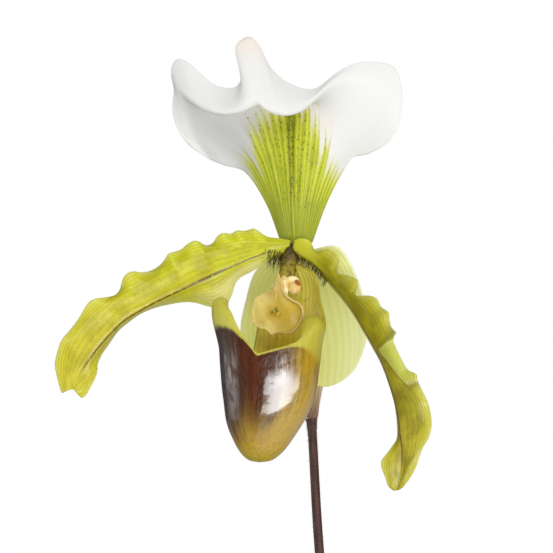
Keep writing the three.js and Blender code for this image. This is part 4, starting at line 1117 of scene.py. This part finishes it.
def carved(piece, cutters):
    """The piece with the shapes in a mesh of cutters taken out."""
    tool = bpy.data.objects.new("cutters", bpy.data.meshes.new("cutters"))
    cutters.to_mesh(tool.data)
    cutters.free()
    bpy.context.scene.collection.objects.link(tool)
    cut = piece.modifiers.new("holes", "BOOLEAN")
    cut.operation = "DIFFERENCE"
    cut.solver = "EXACT"
    cut.object = tool
    graph = bpy.context.evaluated_depsgraph_get()
    mesh = bpy.data.meshes.new_from_object(piece.evaluated_get(graph))
    piece.modifiers.clear()
    piece.data = mesh
    bpy.data.objects.remove(tool)


def inner_radius(height):
    """The radius of the pot's inside at a height."""
    low, high = POT_FLOOR + POT_FILLET, POT_HEIGHT - POT_LIP
    return POT_INNER_FOOT + (POT_INNER_TOP - POT_INNER_FOOT) * (height - low) / (high - low)


def build_pot():
    """A thrown pot with a band round its mouth and holes in its floor."""
    band = POT_HEIGHT - POT_BAND_HEIGHT
    profile = [
        (0, 0), (POT_FOOT_RADIUS - POT_CHAMFER, 0), (POT_FOOT_RADIUS, POT_CHAMFER),
        (POT_SHOULDER_RADIUS, band - 1), (POT_BAND_RADIUS - 2, band),
        (POT_BAND_RADIUS - 1, band + POT_CHAMFER), (POT_BAND_RADIUS, POT_HEIGHT - POT_LIP),
        (POT_BAND_RADIUS - POT_CHAMFER, POT_HEIGHT), (POT_INNER_TOP + POT_FILLET, POT_HEIGHT),
        (POT_INNER_TOP, POT_HEIGHT - POT_LIP), (POT_INNER_FOOT, POT_FLOOR + POT_FILLET),
        (POT_INNER_FOOT - POT_FILLET, POT_FLOOR), (0, POT_FLOOR),
    ]
    bm = lathe_mesh(profile, 96)
    facing_out(bm, (0, 0, POT_FLOOR / 2))
    soften(bm, 0.7)
    pot = finished("pot", bm, clay_finish())
    drains = bmesh.new()
    for k in range(DRAIN_HOLES):
        turn = 2 * math.pi / DRAIN_HOLES * (k + 0.5)
        x, y = DRAIN_CIRCLE_RADIUS * math.cos(turn), DRAIN_CIRCLE_RADIUS * math.sin(turn)
        bmesh.ops.create_cone(
            drains, cap_ends=True, segments=32, radius1=DRAIN_HOLE_RADIUS * MM,
            radius2=DRAIN_HOLE_RADIUS * MM, depth=DRAIN_DRILL * MM,
            matrix=Matrix.Translation(Vector((x, y, 4)) * MM),
        )
    carved(pot, drains)
    pot.data.set_sharp_from_angle(angle=math.radians(50))
    placed(pot, "clay", "pot")


def build_bark():
    """A plain filling heaped with chips, which are smaller near the wall and near the crowns."""
    rng = random.Random(4)
    wall = inner_radius(BARK_LEVEL) - 0.8
    bottom = POT_FLOOR + 0.4
    filling = [
        (0, bottom), (POT_INNER_FOOT - 2.5, bottom), (inner_radius(bottom + 1.6) - 0.7, bottom + 2),
        (wall - 0.3, BARK_LEVEL - 9), (0, BARK_LEVEL - 7),
    ]
    bm = lathe_mesh(filling, 48)
    chips = bmesh.new()
    for k in range(BARK_CHIPS):
        distance = (wall - 3) * math.sqrt((k + 0.5) / BARK_CHIPS)
        angle = k * GOLDEN_TURN + rng.uniform(-0.1, 0.1)
        x, y = distance * math.cos(angle), distance * math.sin(angle)
        clear = min(math.hypot(x - cx, y - cy) - radius for cx, cy, radius in (MAIN_CROWN, YOUNG_CROWN))
        if clear < 3.5:
            continue
        size = min(rng.choice((0.5, 0.6, 0.7, 0.85)), 0.25 + 0.045 * (wall - distance), 0.3 + 0.06 * clear)
        size = max(size, 0.36)
        lift = rng.uniform(-5.5, 0.5) + 2.2 * float(smooth(clear, 0, 12))
        turn = Matrix.Rotation(rng.uniform(0, 6.3), 4, "Z")
        turn = turn @ Matrix.Rotation(rng.gauss(0, 0.4), 4, "Y") @ Matrix.Rotation(rng.gauss(0, 0.4), 4, "X")
        scale = Matrix.Diagonal((*(side * size * MM for side in CHIP_SIZE), 1))
        centre = Vector((x, y, BARK_LEVEL - 1.5 + lift)) * MM
        made = bmesh.ops.create_cube(chips, size=1, matrix=Matrix.Translation(centre) @ turn @ scale)
        for vert in made["verts"]:
            vert.co += Vector((rng.gauss(0, 0.91), rng.gauss(0, 0.91), rng.gauss(0, 0.65))) * size * MM
    bevel_edges(chips, list(chips.edges), 0.35, 1)
    heap = bpy.data.meshes.new("heap")
    chips.to_mesh(heap)
    chips.free()
    bm.from_mesh(heap)
    bpy.data.meshes.remove(heap)
    placed(finished("bark", bm, bark_finish(), smoothed=False), "bark", "bark")


def build_crown(name, crown):
    """The short woody foot of a fan of leaves, sunk in the bark."""
    x, y, radius = crown
    bottom, top = BARK_LEVEL - CROWN_DEPTH, BARK_LEVEL + CROWN_STAND
    profile = [
        (0, bottom), (radius * 0.6, bottom), (radius * 0.85, bottom + CROWN_DEPTH * 0.3),
        (radius, BARK_LEVEL - 4), (radius, top - 1), (radius * 0.9, top), (0, top),
    ]
    bm = lathe_mesh(profile, 40, (x, y))
    soften(bm, 0.5)
    placed(finished(name, bm, CROWN), "crown", name)


def build_rod(name, line, radius, material, stations, sides, ribs=0, rib_depth=0.0, balls=()):
    """A round stalk along a line, with balls, each a centre and half sizes, joined to it."""
    places = rod_places(line, radius, stations, sides, ribs, rib_depth) + FLOWER
    bm = sheet_mesh(places, closed_round=True)
    for centre, size in balls:
        add_ball(bm, FLOWER + np.array(centre), size)
    placed(finished(name, bm, material), name, name)


def build_anther(name, stalk, lobe, cap, pollen):
    """A stalk, a lobe and a cap in one piece, and a small pair of pollen grains on it."""
    bm = bmesh.new()
    add_ball(bm, FLOWER + facing(*stalk), (1.7, 1.0, 1.3), -FLOWER_TURN)
    add_ball(bm, FLOWER + facing(*lobe), (1.15, 1.05, 2.4), -FLOWER_TURN)
    add_ball(bm, FLOWER + facing(*cap), (1.5, 0.95, 1.3))
    placed(finished(name, bm, ANTHER), "anther", name)
    bm = bmesh.new()
    for step in (-1, 1):
        add_ball(bm, FLOWER + facing(*pollen) + step * np.array([0.2, 0, -0.25]), (0.5, 0.4, 0.42))
    placed(finished(name + "_pollen", bm, POLLEN), "anther", name)


def build_shell(name, places, inside, thickness, materials):
    """A sheet closed round an axis, with a wall that goes inwards and the last material on its inner side."""
    bm = sheet_mesh(places, closed_round=True)
    facing_out(bm, inside)
    shell = finished(name, bm, materials)
    add_wall(shell, thickness, -1, len(materials) - 1)
    round_off(shell)
    placed(shell, name, name)


def hairs(name, slot, node, feet, directions, length, thickness, material, rng, sag=0.0, ragged=0.4):
    """Hairs in one piece, each of a length and a lean of its own. ragged is how much they lean apart."""
    bm = bmesh.new()
    for foot, direction in zip(feet, directions):
        lean = direction + np.array([rng.gauss(0, ragged) for _ in range(3)])
        tip = foot + unit(lean) * length * rng.uniform(0.55, 1.1)
        add_bristle(bm, foot, tip, thickness, sag)
    placed(finished(name, bm, material), slot, node)


def feet_on(places, rng, count, breadth, reach):
    """Random places on a sheet, each with the direction that points out of its front."""
    normals = normals_of(places)
    feet, ways = [], []
    for _ in range(count):
        i = round(rng.uniform(*breadth) * (places.shape[0] - 1))
        j = round(rng.uniform(*reach) * (places.shape[1] - 1))
        normal = normals[i, j]
        feet.append(places[i, j])
        ways.append(-normal if normal[1] >= 0 else normal)
    return feet, ways


def down_on(line, radius, rings, rng, count, reach):
    """Random places all round a rod, each with the direction away from its middle."""
    rod = rod_places(line, radius, *rings) + FLOWER
    feet, ways = [], []
    for _ in range(count):
        station = round(rng.uniform(*reach) * (rod.shape[1] - 1))
        foot = rod[rng.randrange(rod.shape[0] - 1), station]
        feet.append(foot)
        ways.append(unit(foot - rod[:-1, station].mean(axis=0)))
    return feet, ways


# How thick each kind of hair is at its foot, and the finishes that several pieces share
BRISTLE = 0.14
COLUMN_BRISTLE = 0.1
DOWN = 0.035
CROWN = crown_finish()
LEAF = leaf_finish()
ANTHER = anther_finish()
POLLEN = pollen_finish()
DARK_HAIR = hair_finish("dark_hairs", "#3a1d17")
PALE_HAIR = hair_finish("pale_down", "#a98f86")

build_pot()
build_bark()
build_crown("main_crown", MAIN_CROWN)
build_crown("young_crown", YOUNG_CROWN)
for fan, crown, leaves in (("main", MAIN_CROWN, MAIN_LEAVES), ("young", YOUNG_CROWN, YOUNG_LEAVES)):
    for number, leaf in enumerate(leaves, 1):
        name = f"{fan}_leaf_{number}"
        placed(leafy_sheet(name, leaf_places(leaf, crown), LEAF_THICKNESS, LEAF), "leaf", name)

# Stem, ovary and bract
build_rod("stem", STEM_LINE, STEM_RADIUS, stem_finish(), stations=150, sides=20)
flower_base = ((0.4, 2.4, -1.6), (2.3, 1.9, 2))
build_rod(
    "ovary", OVARY_LINE, OVARY_RADIUS, ovary_finish(), stations=60, sides=36, ribs=6, rib_depth=0.07,
    balls=[flower_base],
)
placed(leafy_sheet("bract", bract_places(), BRACT_THICKNESS, bract_finish()), "ovary", "bract")

# Sepals and petals
columns = crowded(121)
dorsal = leafy_sheet("dorsal_sepal", dorsal_places(columns), DORSAL_THICKNESS, white_sepal_finish(), columns)
placed(dorsal, "dorsal_sepal", "dorsal_sepal")
lower_at = FLOWER + net(LOWER_SEPAL_VEINS, np.linspace(0, 1, 49), np.linspace(0, 1, 49))
lower = leafy_sheet("lower_sepal", lower_at, LOWER_SEPAL_THICKNESS, pale_sepal_finish())
placed(lower, "lower_sepal", "lower_sepal")
left_at = petal_places(LEFT_PETAL)
left_finish = petal_finish("left_petal", ("#dfe016", "#e2d838", "#bfb814"), "#a8702f", 0.16, under=0.95)
placed(leafy_sheet("left_petal", left_at, PETAL_THICKNESS, left_finish), "petal", "left_petal")
right_at = petal_places(RIGHT_PETAL)
# The right petal's darker colours are partly painted shade, for a petal turned away from the light.
right_finish = petal_finish("right_petal", ("#bdb40c", "#cfc430", "#8f870c"), "#8a4a30", 0.2, fold=True)
placed(leafy_sheet("right_petal", right_at, PETAL_THICKNESS, right_finish), "petal", "right_petal")

# Pouch, column, anthers and staminodium
pouch_at = pouch_places()
pouch_middle = pouch_at.mean(axis=(0, 1))
build_shell("pouch", pouch_at, pouch_middle, POUCH_WALL, [pouch_finish(), pouch_lining_finish()])
anther_knob = (facing(0.2, 4.4, -9), (2.5, 1.7, 2.1))
column_tip = (facing(0.1, 7.75, -11.2), (0.95, 0.95, 0.95))
build_rod(
    "column", COLUMN_LINE, COLUMN_RADIUS, column_finish(), stations=30, sides=28,
    balls=[anther_knob, column_tip],
)
build_anther("left_anther", (-0.9, 4.4, -8.9), (-0.9, 5.4, -9.8), (-1.6, 4.6, -9.9), (-1.7, 4.0, -9.6))
build_anther("right_anther", (2.5, 5.9, -8.5), (1.1, 7, -9.5), (3.2, 6.4, -9.9), (4.2, 6.6, -8.7))
build_shell("staminodium", shield_places(), FLOWER, SHIELD_THICKNESS, [shield_finish()])

# Hairs: stiff dark bristles at the petals' roots and round the column, and short down on ovary and stem
rng = random.Random(11)
for side, petal_at, count, breadth, reach, pull, length, sag in (
    ("left", left_at, 65, (0.02, 0.62), (0.02, 0.085), (-0.5, -0.3, -0.85), 3.0, 0.7),
    ("right", right_at, 130, (0.02, 0.42), (0.02, 0.17), (-0.2, -0.3, -0.8), 1.9, 0.3),
):
    feet, ways = feet_on(petal_at, rng, count, breadth, reach)
    ways = [way * 0.4 + np.array(pull) for way in ways]
    name, node = f"{side}_petal_bristles", f"{side}_petal"
    hairs(name, "petal", node, feet, ways, length, BRISTLE, DARK_HAIR, rng, sag=sag, ragged=0.2)
feet, ways = down_on(COLUMN_LINE, COLUMN_RADIUS, (40, 28), rng, 150, (0.04, 0.55))
ways = [way + np.array([0, 0, -0.8]) for way in ways]
hairs("column_bristles", "column", "column", feet, ways, 1.3, COLUMN_BRISTLE, DARK_HAIR, rng, ragged=0.3)
for name, line, radii, count, reach in (
    ("ovary", OVARY_LINE, OVARY_RADIUS, 700, (0.03, 0.8)),
    ("stem", STEM_LINE, STEM_RADIUS, 2200, (0.2, 0.995)),
):
    feet, ways = down_on(line, radii, (120, 36), rng, count, reach)
    hairs(name + "_down", name, name, feet, ways, 0.45, DOWN, PALE_HAIR, rng)

# Studio: a pale floor and a white surround, which lights the object less than it shows and is dim in
# reflections. A strip of light and its soft halo, low in front, shine in the pouch. Softer light comes from
# above, from the left and from behind.
SURROUND = 0.5
SURROUND_SHOWN_MORE = 0.5
SURROUND_MIRRORED_LESS = -0.38
LIGHTS_AIM = (-3.6, 0, -7.4)
FLOOR_RADIUS = 2.5
FLOOR_DROP = 0.0005

bm = bmesh.new()
bmesh.ops.create_circle(bm, cap_ends=True, cap_tris=False, segments=96, radius=FLOOR_RADIUS)
floor = finished("floor", bm, Finish("floor", "#efeeec", roughness=0.9).material)
floor.location.z = -FLOOR_DROP

scene = bpy.context.scene
world = bpy.data.worlds.new("surround")
scene.world = world
world.use_nodes = True
nodes, links = world.node_tree.nodes, world.node_tree.links
backdrop = nodes["Background"]
backdrop.inputs["Color"].default_value = (1, 1, 1, 1)
rays = nodes.new("ShaderNodeLightPath")
strength = None
for ray, change in (("Is Camera Ray", SURROUND_SHOWN_MORE), ("Is Glossy Ray", SURROUND_MIRRORED_LESS)):
    node = nodes.new("ShaderNodeMath")
    node.operation = "MULTIPLY_ADD"
    links.new(rays.outputs[ray], node.inputs[0])
    node.inputs[1].default_value = change
    node.inputs[2].default_value = SURROUND
    if strength:
        links.new(strength, node.inputs[2])
    strength = node.outputs[0]
links.new(strength, backdrop.inputs["Strength"])


def softbox(name, azimuth, elevation, distance, size, power, spread=180):
    """An area light that faces the flower: azimuth 0 is the camera's side, positive to its right."""
    aim = Vector((FLOWER + LIGHTS_AIM) * MM)
    turn, tilt = math.radians(azimuth), math.radians(elevation)
    away = Vector((math.sin(turn) * math.cos(tilt), -math.cos(turn) * math.cos(tilt), math.sin(tilt)))
    light = bpy.data.lights.new(name, "AREA")
    light.shape = "RECTANGLE"
    light.size, light.size_y = size
    light.energy = power
    light.spread = math.radians(spread)
    lamp = bpy.data.objects.new(name, light)
    lamp.location = aim + away * distance
    lamp.rotation_euler = (-away).to_track_quat("-Z", "Y").to_euler()
    scene.collection.objects.link(lamp)


softbox("key_light", 20, -10.5, 0.8, (1.5, 0.13), 2.2, spread=120)
softbox("halo_light", 18, -4.5, 0.85, (0.9, 0.1), 0.25, spread=100)
softbox("fill_light", 8, 34, 0.9, (0.8, 0.3), 2.6)
softbox("left_light", -104, 4, 0.9, (0.8, 0.5), 0.3, spread=62)
softbox("back_light", 160, 50, 1.0, (0.9, 0.7), 2.0)

camera = bpy.data.objects.new("camera", bpy.data.cameras.new("camera"))
camera.data.sensor_width = 36
camera.data.lens = -camera.data.sensor_width * EYE[1] / (2 * PHOTO_MIDDLE * PIXEL)
camera.data.clip_start = 0.05
camera.data.clip_end = 20
camera.location = (FLOWER + EYE) * MM
camera.rotation_euler = (math.pi / 2, 0, 0)
scene.collection.objects.link(camera)
scene.camera = camera
scene.view_settings.view_transform = "Standard"
scene.view_settings.look = "None"
